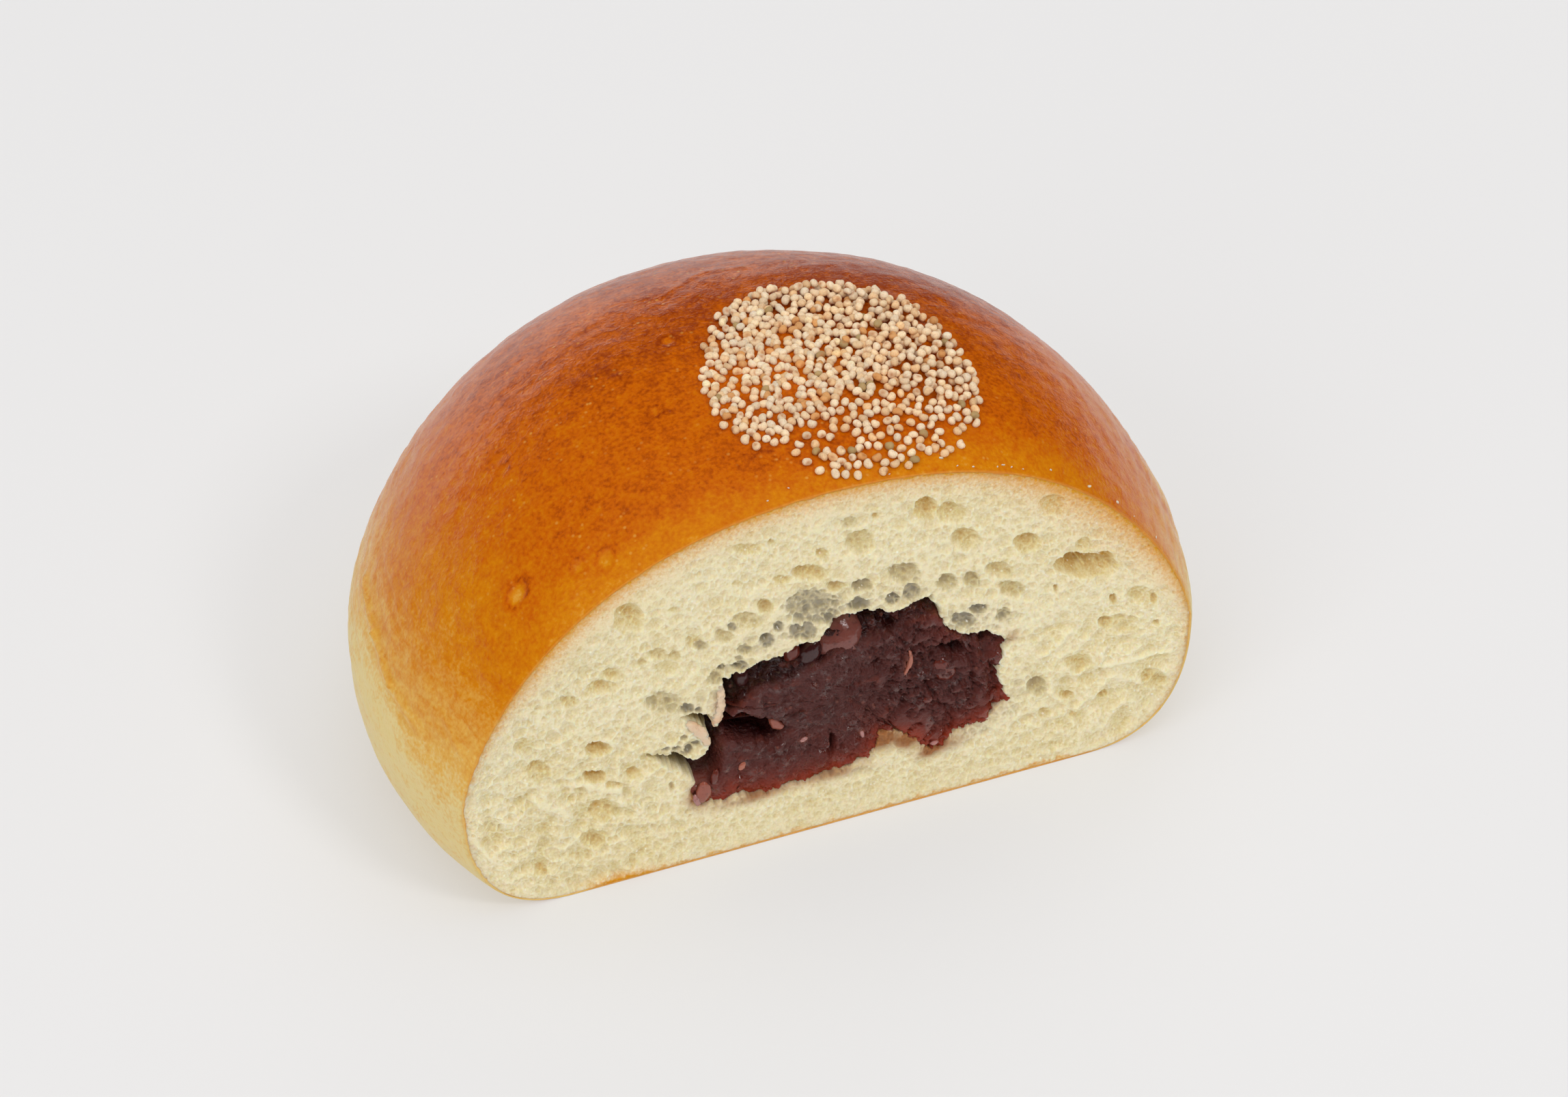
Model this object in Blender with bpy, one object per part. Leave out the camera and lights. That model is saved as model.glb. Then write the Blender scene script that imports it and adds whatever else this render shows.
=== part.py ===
"""A sweet bun cut open beside its middle: bread with poppy seeds fused on top, and the bean paste inside.

Metres, +Z up. X runs along the cut, which faces -Y. The origin is under the middle of the piece's box.
"""

import math
import random

import bmesh
import bpy
import numpy as np
from mathutils import Euler, Matrix, Vector

MM = 0.001

# The whole bun before it was cut: a low dome on a flat base, widest a third of the way up.
RADIUS_X = 48.0 * MM
RADIUS_Y = 47.2 * MM
HEIGHT = 51.4 * MM
WIDEST_HEIGHT = 16.8 * MM
DOME_POWER = 2.8
DOME_EXPONENT = 0.70
UNDER_POWER = 2.45
FLAT_SHARE = 0.765

# The knife passed this far in front of the bun's middle.
CUT_TO_MIDDLE = 20.0 * MM
CUT_Y = -(RADIUS_Y + CUT_TO_MIDDLE) / 2
MIDDLE_Y = CUT_Y + CUT_TO_MIDDLE

BUN_SEGMENTS = 64
DOME_RINGS = 13
UNDER_RINGS = 5

# The hollow that the paste fills, seen on the cut: corners of its torn edge as (x, z), from the right, anticlockwise.
HOLLOW_CENTRE = Vector((2.0 * MM, 18.8 * MM))
HOLLOW_EDGE = [
    (20.3, 19.0), (21.2, 21.3), (18.6, 23.7), (15.6, 24.1), (13.2, 26.2), (12.3, 29.6), (11.3, 31.0),
    (7.0, 30.3), (3.2, 31.5), (0.2, 30.8), (-1.6, 28.8), (-4.6, 29.0), (-9.4, 27.8), (-12.8, 27.0),
    (-13.6, 23.8), (-17.4, 22.6), (-21.2, 18.4), (-18.2, 15.6), (-16.6, 13.0), (-16.4, 9.2), (-11.6, 8.2),
    (-3.0, 7.8), (4.6, 8.4), (7.6, 9.8), (12.2, 7.6), (18.6, 9.2), (21.2, 12.8), (20.2, 16.4),
]
HOLLOW_SEGMENTS = 56

# Behind the cut the hollow widens into the rounded lump of paste about the bun's middle.
LUMP_HALF_WIDTH = 25.0 * MM
LUMP_HALF_HEIGHT = 11.6 * MM
LUMP_HALF_DEPTH = 26.0 * MM
LUMP_CENTRE = Vector((0.5 * MM, 18.6 * MM))
LUMP_BACK = CUT_TO_MIDDLE + LUMP_HALF_DEPTH
LUMP_RINGS = 7
LAST_RING_SHARE = 0.9
MOUTH_DEPTH = 9.0 * MM
MOUTH_RINGS = 4
PASTE_GAP = 0.6 * MM

# How far the paste's face stands behind the cut, and where it falls away.
FACE_RECESS = 1.0 * MM
SHOULDER_HEIGHT = 25.5 * MM
SHOULDER_SLOPE = 1.1
LEFT_DROP_X = -12.8 * MM
LEFT_DROP_HEIGHT = 10.5 * MM
LEFT_DROP_RISE = 5.0 * MM
LEFT_DROP = 4.5 * MM
RIGHT_DROP_X = 16.0 * MM
RIGHT_DROP_HEIGHT = 19.5 * MM
RIGHT_DROP = 2.6 * MM
DROP_WIDTH = 3.0 * MM
FISSURE_CENTRE = Vector((-10.2 * MM, 18.4 * MM))
FISSURE_HALF_WIDTH = 4.2 * MM
FISSURE_HALF_HEIGHT = 2.0 * MM
FISSURE_DEPTH = 5.0 * MM
DEEPEST_RIM = 6.5 * MM
RIM_STEPS = 8
PASTE_FACE_RINGS = 12

# The torn tongue of crumb that stands in the hollow's left end.
TONGUE_ROOT = Vector((-22.4 * MM, 20.4 * MM))
TONGUE_TIP = Vector((-14.9 * MM, 17.9 * MM))
TONGUE_HALF_HEIGHT = 1.7 * MM
TONGUE_HALF_THICKNESS = 1.5 * MM
TONGUE_SETBACK = 1.7 * MM
TONGUE_SIDES = 10
TONGUE_SWELL = {0.0: 1.35, 0.3: 1.0, 0.6: 1.05, 0.85: 0.75}

# Gas pores that the knife opened, on the cut: x, z, half width, half height in millimetres, and tilt in degrees.
PORES = [
    (-23.9, 38.6, 1.8, 2.1, 0), (11.9, 43.0, 2.5, 1.3, -40), (22.6, 35.7, 1.5, 1.2, -20),
    (30.2, 29.4, 3.3, 1.3, -8), (-3.0, 38.6, 1.8, 1.1, 15), (3.2, 41.0, 1.3, 1.0, 0),
    (-27.7, 22.0, 1.6, 1.2, 0), (-28.3, 17.0, 1.5, 1.0, 0), (-4.2, 34.3, 3.0, 2.2, 10),
    (7.6, 35.4, 2.0, 1.0, 5), (-23.0, 31.7, 1.5, 0.9, 0), (-28.3, 7.6, 1.8, 1.2, -15),
    (26.6, 38.6, 1.3, 0.9, -30), (32.6, 19.3, 2.2, 1.1, 0), (15.8, 37.2, 1.8, 1.2, 0),
]
PORE_DEPTH_SHARE = 0.8
PORE_RISE_SHARE = 0.25

# Poppy seeds in a round patch on top, a little off the bun's middle.
PATCH_X = 7.3 * MM
PATCH_Y = CUT_Y + 16.8 * MM
PATCH_RADIUS = 15.2 * MM
SEED_COUNT = 150
SEED_LENGTH = 1.35 * MM
SEED_WIDTH = 1.05 * MM
SEED_THICKNESS = 0.95 * MM
SEED_BEND = 0.18
SEED_SINK = 0.22
SEED_JITTER = 0.35 * MM
SEED_FROM_CUT = 1.3 * MM
SEED_SEGMENTS = 6
SEED_RINGS = 3
SEED_DRAW = 11
SLOPE_STEP = 0.5 * MM
GOLDEN_ANGLE = math.pi * (3 - math.sqrt(5))

CRUST_COLOUR = (0.60, 0.24, 0.05)
PASTE_COLOUR = (0.09, 0.03, 0.025)


def clear_scene():
    """Removes every object, so that the model starts from nothing."""
    for old in list(bpy.data.objects):
        bpy.data.objects.remove(old)


def smoothstep(value):
    """0 below 0, 1 above 1, and a smooth rise between."""
    t = min(1.0, max(0.0, value))
    return t * t * (3 - 2 * t)


def material(name, colour, roughness):
    """A plain shaded material of that colour."""
    made = bpy.data.materials.new(name)
    made.use_nodes = True
    shader = made.node_tree.nodes["Principled BSDF"]
    shader.inputs["Base Color"].default_value = (*colour, 1)
    shader.inputs["Roughness"].default_value = roughness
    shader.inputs["Metallic"].default_value = 0
    return made


def linked(name, mesh, finish=None):
    """A new object of that mesh in the scene."""
    made = bpy.data.objects.new(name, mesh)
    bpy.context.scene.collection.objects.link(made)
    if finish:
        mesh.materials.append(finish)
    return made


def as_cutter(cutter):
    """Marks an object as a tool that only cuts."""
    cutter.hide_render = True
    cutter.display_type = "WIRE"
    return cutter


def mesh_of(name, points, faces):
    """A mesh of these points and faces, with its faces turned outwards."""
    mesh = bpy.data.meshes.new(name)
    mesh.from_pydata([tuple(p) for p in points], [], faces)
    work = bmesh.new()
    work.from_mesh(mesh)
    bmesh.ops.recalc_face_normals(work, faces=work.faces)
    work.to_mesh(mesh)
    work.free()
    return mesh


def ring_solid(first_pole, rings, last_pole):
    """Points and faces of a closed skin over rings of equal count, between two poles."""
    count = len(rings[0])
    points = [first_pole, *(p for ring in rings for p in ring), last_pole]
    end = len(points) - 1
    faces = []
    for i in range(count):
        j = (i + 1) % count
        faces.append((0, 1 + j, 1 + i))
        faces.append((end, end - count + i, end - count + j))
        for k in range(len(rings) - 1):
            near, far = 1 + k * count, 1 + (k + 1) * count
            faces.append((near + i, near + j, far + j, far + i))
    return points, faces


def dome_height(share):
    """Height of the bun's top where the distance from its middle is this share of its radius."""
    rise = max(0.0, 1 - share**DOME_POWER) ** DOME_EXPONENT
    return WIDEST_HEIGHT + (HEIGHT - WIDEST_HEIGHT) * rise


def under_height(share):
    """Height of the bun's rounded underside at that share of its radius."""
    w = max(0.0, (share - FLAT_SHARE) / (1 - FLAT_SHARE))
    return WIDEST_HEIGHT * (1 - max(0.0, 1 - w**UNDER_POWER) ** (1 / UNDER_POWER))


def top_height(x, y):
    """Height of the bun's top over a point of the ground plan."""
    return dome_height(math.hypot(x / RADIUS_X, (y - MIDDLE_Y) / RADIUS_Y))


def plan_ring(share, height):
    """One level ring of the bun."""
    turns = [math.tau * i / BUN_SEGMENTS for i in range(BUN_SEGMENTS)]
    return [
        Vector((RADIUS_X * share * math.cos(t), MIDDLE_Y + RADIUS_Y * share * math.sin(t), height))
        for t in turns
    ]


def bun_body():
    """The dome with its rounded foot, cut flat by the knife."""
    rings = []
    for k in range(1, DOME_RINGS + 1):
        share = math.sin(math.pi / 2 * k / DOME_RINGS)
        rings.append(plan_ring(share, dome_height(share)))
    for k in range(UNDER_RINGS - 1, -1, -1):
        drop = math.sin(math.pi / 2 * k / UNDER_RINGS)
        share = FLAT_SHARE + (1 - FLAT_SHARE) * drop
        rings.append(plan_ring(share, under_height(share)))
    points, faces = ring_solid(Vector((0, MIDDLE_Y, HEIGHT)), rings, Vector((0, MIDDLE_Y, 0)))
    mesh = mesh_of("bun", points, faces)
    work = bmesh.new()
    work.from_mesh(mesh)
    whole = work.verts[:] + work.edges[:] + work.faces[:]
    cut = bmesh.ops.bisect_plane(
        work, geom=whole, plane_co=(0, CUT_Y, 0), plane_no=(0, -1, 0), clear_outer=True
    )
    rim = [e for e in cut["geom_cut"] if isinstance(e, bmesh.types.BMEdge)]
    bmesh.ops.edgeloop_fill(work, edges=rim)
    bmesh.ops.recalc_face_normals(work, faces=work.faces)
    work.to_mesh(mesh)
    work.free()
    return linked("bun", mesh, material("crust", CRUST_COLOUR, 0.4))


def edge_reach(turn):
    """Distance from the hollow's centre to its torn edge in a direction of the cut face."""
    corners = [Vector((x * MM, z * MM)) - HOLLOW_CENTRE for x, z in HOLLOW_EDGE]
    angles = np.unwrap([math.atan2(c.y, c.x) for c in corners])
    reaches = [c.length for c in corners]
    return float(np.interp(turn, angles, reaches, period=math.tau))


def lump_reach(turn, depth):
    """Distance from the hollow's centre to the lump's side at a depth behind the cut."""
    share = math.sqrt(max(0.0, 1 - ((depth - CUT_TO_MIDDLE) / LUMP_HALF_DEPTH) ** 2))
    a, b = LUMP_HALF_WIDTH * share, LUMP_HALF_HEIGHT * share
    way = Vector((math.cos(turn), math.sin(turn)))
    offset = (HOLLOW_CENTRE - LUMP_CENTRE) * share
    p = (way.x / a) ** 2 + (way.y / b) ** 2
    q = offset.x * way.x / a**2 + offset.y * way.y / b**2
    r = (offset.x / a) ** 2 + (offset.y / b) ** 2 - 1
    return (-q + math.sqrt(q * q - p * r)) / p


def hollow_turns():
    """Directions of the hollow's segments."""
    return [math.tau * i / HOLLOW_SEGMENTS for i in range(HOLLOW_SEGMENTS)]


def wall_depths():
    """Depths of the rings of the hollow's wall, even at its mouth and closer together at the lump's back."""
    mouth = [MOUTH_DEPTH * k / MOUTH_RINGS for k in range(MOUTH_RINGS + 1)]
    steps = [math.sin(math.pi / 2 * LAST_RING_SHARE * k / LUMP_RINGS) for k in range(1, LUMP_RINGS + 1)]
    return mouth + [MOUTH_DEPTH + (LUMP_BACK - MOUTH_DEPTH) * step for step in steps]


def wall_reach(turn, depth):
    """Distance from the hollow's centre line to its wall, straight between the rings of the wall."""
    depths = wall_depths()
    reaches = []
    for d in depths:
        share = smoothstep(d / MOUTH_DEPTH)
        reaches.append((1 - share) * edge_reach(turn) + share * lump_reach(turn, max(d, MOUTH_DEPTH / 2)))
    return float(np.interp(depth, depths, reaches))


def wall_point(turn, depth, inset=0.0):
    """A point of the hollow's wall, or inset from it, at a depth behind the cut."""
    reach = wall_reach(turn, depth) - inset
    centre = HOLLOW_CENTRE
    return Vector((centre.x + reach * math.cos(turn), CUT_Y + depth, centre.y + reach * math.sin(turn)))


def hollow_cutter():
    """The hollow as a solid, longer than the bread at the cut, to be taken out of the bun."""
    proud = Vector((0, -1.0 * MM, 0))
    rings = [[wall_point(t, d) for t in hollow_turns()] for d in wall_depths()]
    rings.insert(0, [p + proud for p in rings[0]])
    front = Vector((HOLLOW_CENTRE.x, CUT_Y, HOLLOW_CENTRE.y)) + proud
    back = Vector((HOLLOW_CENTRE.x, CUT_Y + LUMP_BACK, HOLLOW_CENTRE.y))
    points, faces = ring_solid(front, rings, back)
    return as_cutter(linked("hollow_cutter", mesh_of("hollow_cutter", points, faces)))


def pore_cutter():
    """Every opened pore as an egg-shaped bowl in one mesh, to be taken out of the cut face."""
    work = bmesh.new()
    for x, z, half_width, half_height, tilt in PORES:
        sizes = Vector((half_width, PORE_DEPTH_SHARE * (half_width + half_height), half_height)) * MM
        spot = Vector((x * MM, CUT_Y - PORE_RISE_SHARE * sizes.y, z * MM))
        place = Matrix.LocRotScale(spot, Euler((0, math.radians(-tilt), 0)), sizes)
        bmesh.ops.create_icosphere(work, subdivisions=2, radius=1.0, matrix=place)
    mesh = bpy.data.meshes.new("pore_cutter")
    work.to_mesh(mesh)
    work.free()
    return as_cutter(linked("pore_cutter", mesh))


def tongue(finish):
    """The torn tongue of crumb, thick at its root in the bread and blunt at its tip."""
    along = TONGUE_TIP - TONGUE_ROOT
    across = Vector((-along.y, along.x)).normalized()
    rings = []
    for share, swell in TONGUE_SWELL.items():
        middle = TONGUE_ROOT + along * share
        ring = []
        for i in range(TONGUE_SIDES):
            turn = math.tau * i / TONGUE_SIDES
            side = middle + across * (TONGUE_HALF_HEIGHT * swell * math.cos(turn))
            back = CUT_Y + TONGUE_SETBACK + TONGUE_HALF_THICKNESS * math.sin(turn)
            ring.append(Vector((side.x, back, side.y)))
        rings.append(ring)
    ends = [Vector((p.x, CUT_Y + TONGUE_SETBACK, p.y)) for p in (TONGUE_ROOT, TONGUE_TIP)]
    points, faces = ring_solid(ends[0], rings, ends[1])
    return linked("tongue", mesh_of("tongue", points, faces), finish)


def seed_mesh():
    """A kidney-shaped poppy seed lying along X, about its own middle."""
    work = bmesh.new()
    bmesh.ops.create_uvsphere(work, u_segments=SEED_SEGMENTS, v_segments=SEED_RINGS, radius=1.0)
    for vert in work.verts:
        x, y, z = vert.co.z, vert.co.x, vert.co.y
        bow = SEED_BEND * (2 * x * x - 1)
        vert.co = (x * SEED_LENGTH / 2, y * SEED_WIDTH / 2 + bow * SEED_WIDTH, z * SEED_THICKNESS / 2)
    bmesh.ops.recalc_face_normals(work, faces=work.faces)
    mesh = bpy.data.meshes.new("seed")
    work.to_mesh(mesh)
    work.free()
    return mesh


def surface_frame(x, y):
    """The point of the bun's top over the plan point, and the turn that lays Z along its normal."""
    step = SLOPE_STEP
    slope_x = (top_height(x + step, y) - top_height(x - step, y)) / (2 * step)
    slope_y = (top_height(x, y + step) - top_height(x, y - step)) / (2 * step)
    normal = Vector((-slope_x, -slope_y, 1)).normalized()
    return Vector((x, y, top_height(x, y))), normal.to_track_quat("Z", "Y")


def seed_collection(finish):
    """Seeds spread evenly over the round patch by the sunflower rule, each nudged and spun by a seeded draw."""
    draw = random.Random(SEED_DRAW)
    group = bpy.data.collections.new("seeds")
    bpy.context.scene.collection.children.link(group)
    shape = seed_mesh()
    shape.materials.append(finish)
    for i in range(SEED_COUNT):
        reach = PATCH_RADIUS * math.sqrt((i + 0.5) / SEED_COUNT)
        turn = i * GOLDEN_ANGLE
        x = PATCH_X + reach * math.cos(turn) + draw.uniform(-SEED_JITTER, SEED_JITTER)
        y = PATCH_Y + reach * math.sin(turn) + draw.uniform(-SEED_JITTER, SEED_JITTER)
        spin = draw.uniform(0, math.tau)
        if y < CUT_Y + SEED_FROM_CUT:
            continue
        spot, upright = surface_frame(x, y)
        seat = spot + upright @ Vector((0, 0, SEED_THICKNESS * (0.5 - SEED_SINK)))
        seed = bpy.data.objects.new(f"seed_{i:03d}", shape)
        seed.matrix_world = Matrix.LocRotScale(seat, upright @ Euler((0, 0, spin)).to_quaternion(), None)
        group.objects.link(seed)
    return group


def apply_modifiers(target):
    """Gives the object the mesh that its modifiers make, and removes them."""
    graph = bpy.context.evaluated_depsgraph_get()
    result = bpy.data.meshes.new_from_object(target.evaluated_get(graph))
    target.modifiers.clear()
    target.data = result


def fuse(target, group):
    """Joins everything in the collection to the target as one solid, then removes the collection."""
    joint = target.modifiers.new("fuse", "BOOLEAN")
    joint.operation = "UNION"
    joint.operand_type = "COLLECTION"
    joint.collection = group
    bpy.context.view_layer.update()
    apply_modifiers(target)
    for piece in list(group.objects):
        bpy.data.objects.remove(piece)
    bpy.data.collections.remove(group)


def cut_away(target, cutter, name):
    """Takes the cutter out of the target."""
    cut = target.modifiers.new(name, "BOOLEAN")
    cut.operation = "DIFFERENCE"
    cut.object = cutter
    return cut


def join_one(target, piece, name):
    """Joins one more solid to the target, and keeps that solid only as its tool."""
    joint = target.modifiers.new(name, "BOOLEAN")
    joint.operation = "UNION"
    joint.object = as_cutter(piece)
    return joint


def paste_recess(x, z):
    """How far the paste's face lies behind the cut at a point of the face."""
    shoulder = max(0.0, z - SHOULDER_HEIGHT) * SHOULDER_SLOPE
    left = smoothstep((LEFT_DROP_X - x) / DROP_WIDTH) * smoothstep((z - LEFT_DROP_HEIGHT) / LEFT_DROP_RISE)
    right = smoothstep((x - RIGHT_DROP_X) / DROP_WIDTH) * smoothstep((z - RIGHT_DROP_HEIGHT) / DROP_WIDTH)
    across = (x - FISSURE_CENTRE.x) / FISSURE_HALF_WIDTH
    up = (z - FISSURE_CENTRE.y) / FISSURE_HALF_HEIGHT
    fissure = FISSURE_DEPTH * math.exp(-(across**4) - up**4)
    return FACE_RECESS + max(shoulder, LEFT_DROP * left, RIGHT_DROP * right, fissure)


def rim_depth(turn):
    """How far behind the cut the rim of the paste's face lies, where face and wall meet."""
    depth = FACE_RECESS
    for _ in range(RIM_STEPS):
        rim = wall_point(turn, depth, PASTE_GAP)
        depth = min(paste_recess(rim.x, rim.z), DEEPEST_RIM)
    return depth


def filling(finish):
    """The lump of bean paste: its uneven cut face, and its rounded back inside the bread."""
    centre = HOLLOW_CENTRE
    turns = hollow_turns()
    depths = [rim_depth(t) for t in turns]
    rim = [wall_point(t, d, PASTE_GAP) for t, d in zip(turns, depths)]
    rings = []
    for k in range(1, PASTE_FACE_RINGS):
        share = k / PASTE_FACE_RINGS
        ring = []
        for edge in rim:
            x = centre.x + (edge.x - centre.x) * share
            z = centre.y + (edge.z - centre.y) * share
            ring.append(Vector((x, CUT_Y + min(paste_recess(x, z), DEEPEST_RIM), z)))
        rings.append(ring)
    rings.append(rim)
    for k in range(1, MOUTH_RINGS + 1):
        share = k / MOUTH_RINGS
        rings.append(
            [wall_point(t, d + (MOUTH_DEPTH - d) * share, PASTE_GAP) for t, d in zip(turns, depths)]
        )
    for depth in wall_depths()[MOUTH_RINGS + 1 :]:
        rings.append([wall_point(t, depth, PASTE_GAP) for t in turns])
    front = Vector((centre.x, CUT_Y + paste_recess(centre.x, centre.y), centre.y))
    back = Vector((centre.x, CUT_Y + LUMP_BACK - PASTE_GAP, centre.y))
    points, faces = ring_solid(front, rings, back)
    return linked("filling", mesh_of("filling", points, faces), finish)


def main():
    """Builds the bread with its seeds, opens its hollow and pores, and lays in the paste."""
    clear_scene()
    bun = bun_body()
    crust = bun.data.materials[0]
    fuse(bun, seed_collection(crust))
    cut_away(bun, hollow_cutter(), "hollow")
    cut_away(bun, pore_cutter(), "pores")
    join_one(bun, tongue(crust), "tongue")
    paste = filling(material("bean_paste", PASTE_COLOUR, 0.45))
    for piece in (bun, paste):
        piece.data.shade_smooth()
        piece.data.set_sharp_from_angle(angle=math.radians(40))


main()
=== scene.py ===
"""Dresses a sweet bun that was cut open in front of its middle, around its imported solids.

Shapes are worked out in millimetres in the cut's own frame: x along the cut to the right, depth behind the
cut, and z up from the table. Only the last step of each piece turns them into metres in the row's frame.
"""

import itertools
import logging
import math
from dataclasses import dataclass, field
from enum import Enum

import bpy
import numpy as np
from mathutils import Matrix, Vector

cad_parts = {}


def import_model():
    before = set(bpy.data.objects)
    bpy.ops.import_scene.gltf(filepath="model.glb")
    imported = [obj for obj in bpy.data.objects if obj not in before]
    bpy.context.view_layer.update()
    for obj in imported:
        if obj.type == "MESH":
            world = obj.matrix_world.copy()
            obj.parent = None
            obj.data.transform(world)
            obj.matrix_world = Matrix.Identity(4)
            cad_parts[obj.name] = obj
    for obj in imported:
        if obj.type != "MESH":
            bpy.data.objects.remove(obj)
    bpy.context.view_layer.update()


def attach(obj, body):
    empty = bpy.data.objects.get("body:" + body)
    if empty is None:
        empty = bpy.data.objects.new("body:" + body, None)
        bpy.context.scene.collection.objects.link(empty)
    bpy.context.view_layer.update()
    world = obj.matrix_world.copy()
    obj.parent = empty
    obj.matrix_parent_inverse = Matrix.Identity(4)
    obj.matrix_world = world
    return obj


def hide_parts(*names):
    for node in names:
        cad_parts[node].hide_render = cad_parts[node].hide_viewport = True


MM = 0.001
BUN_NODE = "bun"
PASTE_NODE = "filling"
LATTICE = 256
NOISE_GAIN = 1.6
LOG = logging.getLogger("bun")

Triple = tuple[float, float, float]
Colour = Triple


def smooth(low: float, high: float, value: np.ndarray) -> np.ndarray:
    """A smooth step: 0 up to low, 1 from high on, and a cubic between.

    Args:
        low: Where the rise starts.
        high: Where the rise ends. It may lie below low, for a fall.
        value: What is stepped.

    Returns:
        Shares from 0 to 1.
    """
    t = np.clip((np.asarray(value, float) - low) / (high - low), 0.0, 1.0)
    return t * t * (3.0 - 2.0 * t)


def bell(across: np.ndarray, up: np.ndarray) -> np.ndarray:
    """A round bell of two offsets, 1 in the middle and about a third at one unit away."""
    return np.exp(-(across**2) - up**2)


def listed(kind: type, *rows: tuple) -> tuple:
    """Objects of one kind, each from a row of its values."""
    return tuple(kind(*row) for row in rows)


def unit(vectors: np.ndarray) -> np.ndarray:
    """Vectors over their own lengths."""
    return vectors / np.linalg.norm(vectors, axis=-1, keepdims=True)


def on_cut(x: np.ndarray, z: np.ndarray) -> np.ndarray:
    """Points of the cut's plane at these places and heights."""
    return np.stack([x + 0.0 * z, 0.0 * z, z], axis=-1)


def turned(dx: np.ndarray, dz: np.ndarray, angle: float) -> tuple[np.ndarray, np.ndarray]:
    """Offsets on the cut, measured along and across a direction at that angle in radians."""
    along = dx * math.cos(angle) + dz * math.sin(angle)
    across = dz * math.cos(angle) - dx * math.sin(angle)
    return along, across


def line_gap(x: np.ndarray, z: np.ndarray, start: np.ndarray, end: np.ndarray) -> np.ndarray:
    """Distance to the line between two points of the cut: the place is dropped onto it, within its ends.

    Args:
        x: Places along the cut.
        z: Heights.
        start: One end as x and height.
        end: The other end.

    Returns:
        Distances in millimetres.
    """
    (ax, az), (bx, bz) = start, end
    dx, dz = bx - ax, bz - az
    t = np.clip(((x - ax) * dx + (z - az) * dz) / (dx * dx + dz * dz), 0.0, 1.0)
    return np.hypot(x - ax - t * dx, z - az - t * dz)


@dataclass(frozen=True)
class Grain:
    """Smooth noise of position, the same at each run.

    Attributes:
        seed: Picks one pattern.
    """

    seed: int

    def at(self, points: np.ndarray, size: float) -> np.ndarray:
        """Noise from about -1 to 1: every corner of a lattice holds a random slope, and the planes of the
        eight corners round a point are blended by a fifth-degree fade.

        Args:
            points: Positions in millimetres, their three coordinates last.
            size: Pitch of the lattice in millimetres.

        Returns:
            One value for each point.
        """
        draw = np.random.default_rng(self.seed)
        order = draw.permutation(LATTICE)
        slopes = unit(draw.normal(size=(LATTICE, 3)))
        spot = points / size
        cell = np.floor(spot).astype(int)
        rest = spot - cell
        fade = rest**3 * (rest * (rest * 6.0 - 15.0) + 10.0)
        total = np.zeros(points.shape[:-1])
        for corner in itertools.product((0, 1), repeat=3):
            pick = 0
            for axis in range(3):
                pick = order[(pick + cell[..., axis] + corner[axis]) % LATTICE]
            weight = np.prod(np.where(corner, fade, 1.0 - fade), axis=-1)
            total += weight * ((rest - corner) * slopes[pick]).sum(axis=-1)
        return total * NOISE_GAIN

    def layered(self, points: np.ndarray, size: float, layers: int, keep: float = 0.5) -> np.ndarray:
        """Sum of noises, each of half the size of the one before and keep times its height.

        Args:
            points: Positions in millimetres.
            size: Pitch of the coarsest layer.
            layers: How many layers.
            keep: Height of a layer over that of the coarser one.

        Returns:
            One value for each point.
        """
        total = np.zeros(points.shape[:-1])
        for k in range(layers):
            total += keep**k * Grain(self.seed + k).at(points, size / 2**k)
        return total


@dataclass(frozen=True)
class Swell:
    """Layered noise of a set height.

    Attributes:
        seed: Picks one pattern.
        size: Pitch of its coarsest layer in millimetres.
        height: Height that the noise is multiplied by.
        layers: How many layers.
        keep: Height of a layer over that of the coarser one.
    """

    seed: int
    size: float
    height: float = 1.0
    layers: int = 1
    keep: float = 0.5

    def at(self, points: np.ndarray) -> np.ndarray:
        """Its value at points in millimetres."""
        return self.height * Grain(self.seed).layered(points, self.size, self.layers, self.keep)


class Value:
    """A shader socket on which Python's arithmetic adds Math nodes."""

    def __init__(self, paint: "Paint", socket: bpy.types.NodeSocket) -> None:
        """Wraps the socket of that paint."""
        self.paint = paint
        self.socket = socket

    def joined(self, operation: str, *terms: "Value | float") -> "Value":
        """A Math node of that operation.

        Args:
            operation: The Math node's operation.
            terms: Its inputs in order, sockets or numbers.

        Returns:
            The node's output.
        """
        node = self.paint.node("ShaderNodeMath", {"operation": operation}, dict(enumerate(terms)))
        return Value(self.paint, node.outputs[0])

    def __add__(self, other: "Value | float") -> "Value":
        """This plus the other."""
        return self.joined("ADD", self, other)

    def __radd__(self, other: float) -> "Value":
        """The other plus this."""
        return self.joined("ADD", other, self)

    def __sub__(self, other: "Value | float") -> "Value":
        """This less the other."""
        return self.joined("SUBTRACT", self, other)

    def __rsub__(self, other: float) -> "Value":
        """The other less this."""
        return self.joined("SUBTRACT", other, self)

    def __mul__(self, other: "Value | float") -> "Value":
        """This times the other."""
        return self.joined("MULTIPLY", self, other)

    def step(self, low: float, high: float) -> "Value":
        """A smooth step of this value from 0 at low to 1 at high."""
        settings = {"interpolation_type": "SMOOTHSTEP", "clamp": True}
        inputs = {"Value": self, "From Min": low, "From Max": high}
        node = self.paint.node("ShaderNodeMapRange", settings, inputs)
        return Value(self.paint, node.outputs["Result"])

    def clamped(self) -> "Value":
        """This value held between 0 and 1."""
        return self.joined("MINIMUM", self.joined("MAXIMUM", self, 0.0), 1.0)


def linear(red: int, green: int, blue: int) -> Colour:
    """The linear colour of a screen colour given in 255ths."""
    parts = np.array((red, green, blue)) / 255.0
    return tuple(np.where(parts <= 0.04045, parts / 12.92, ((parts + 0.055) / 1.055) ** 2.4).tolist())


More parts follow.
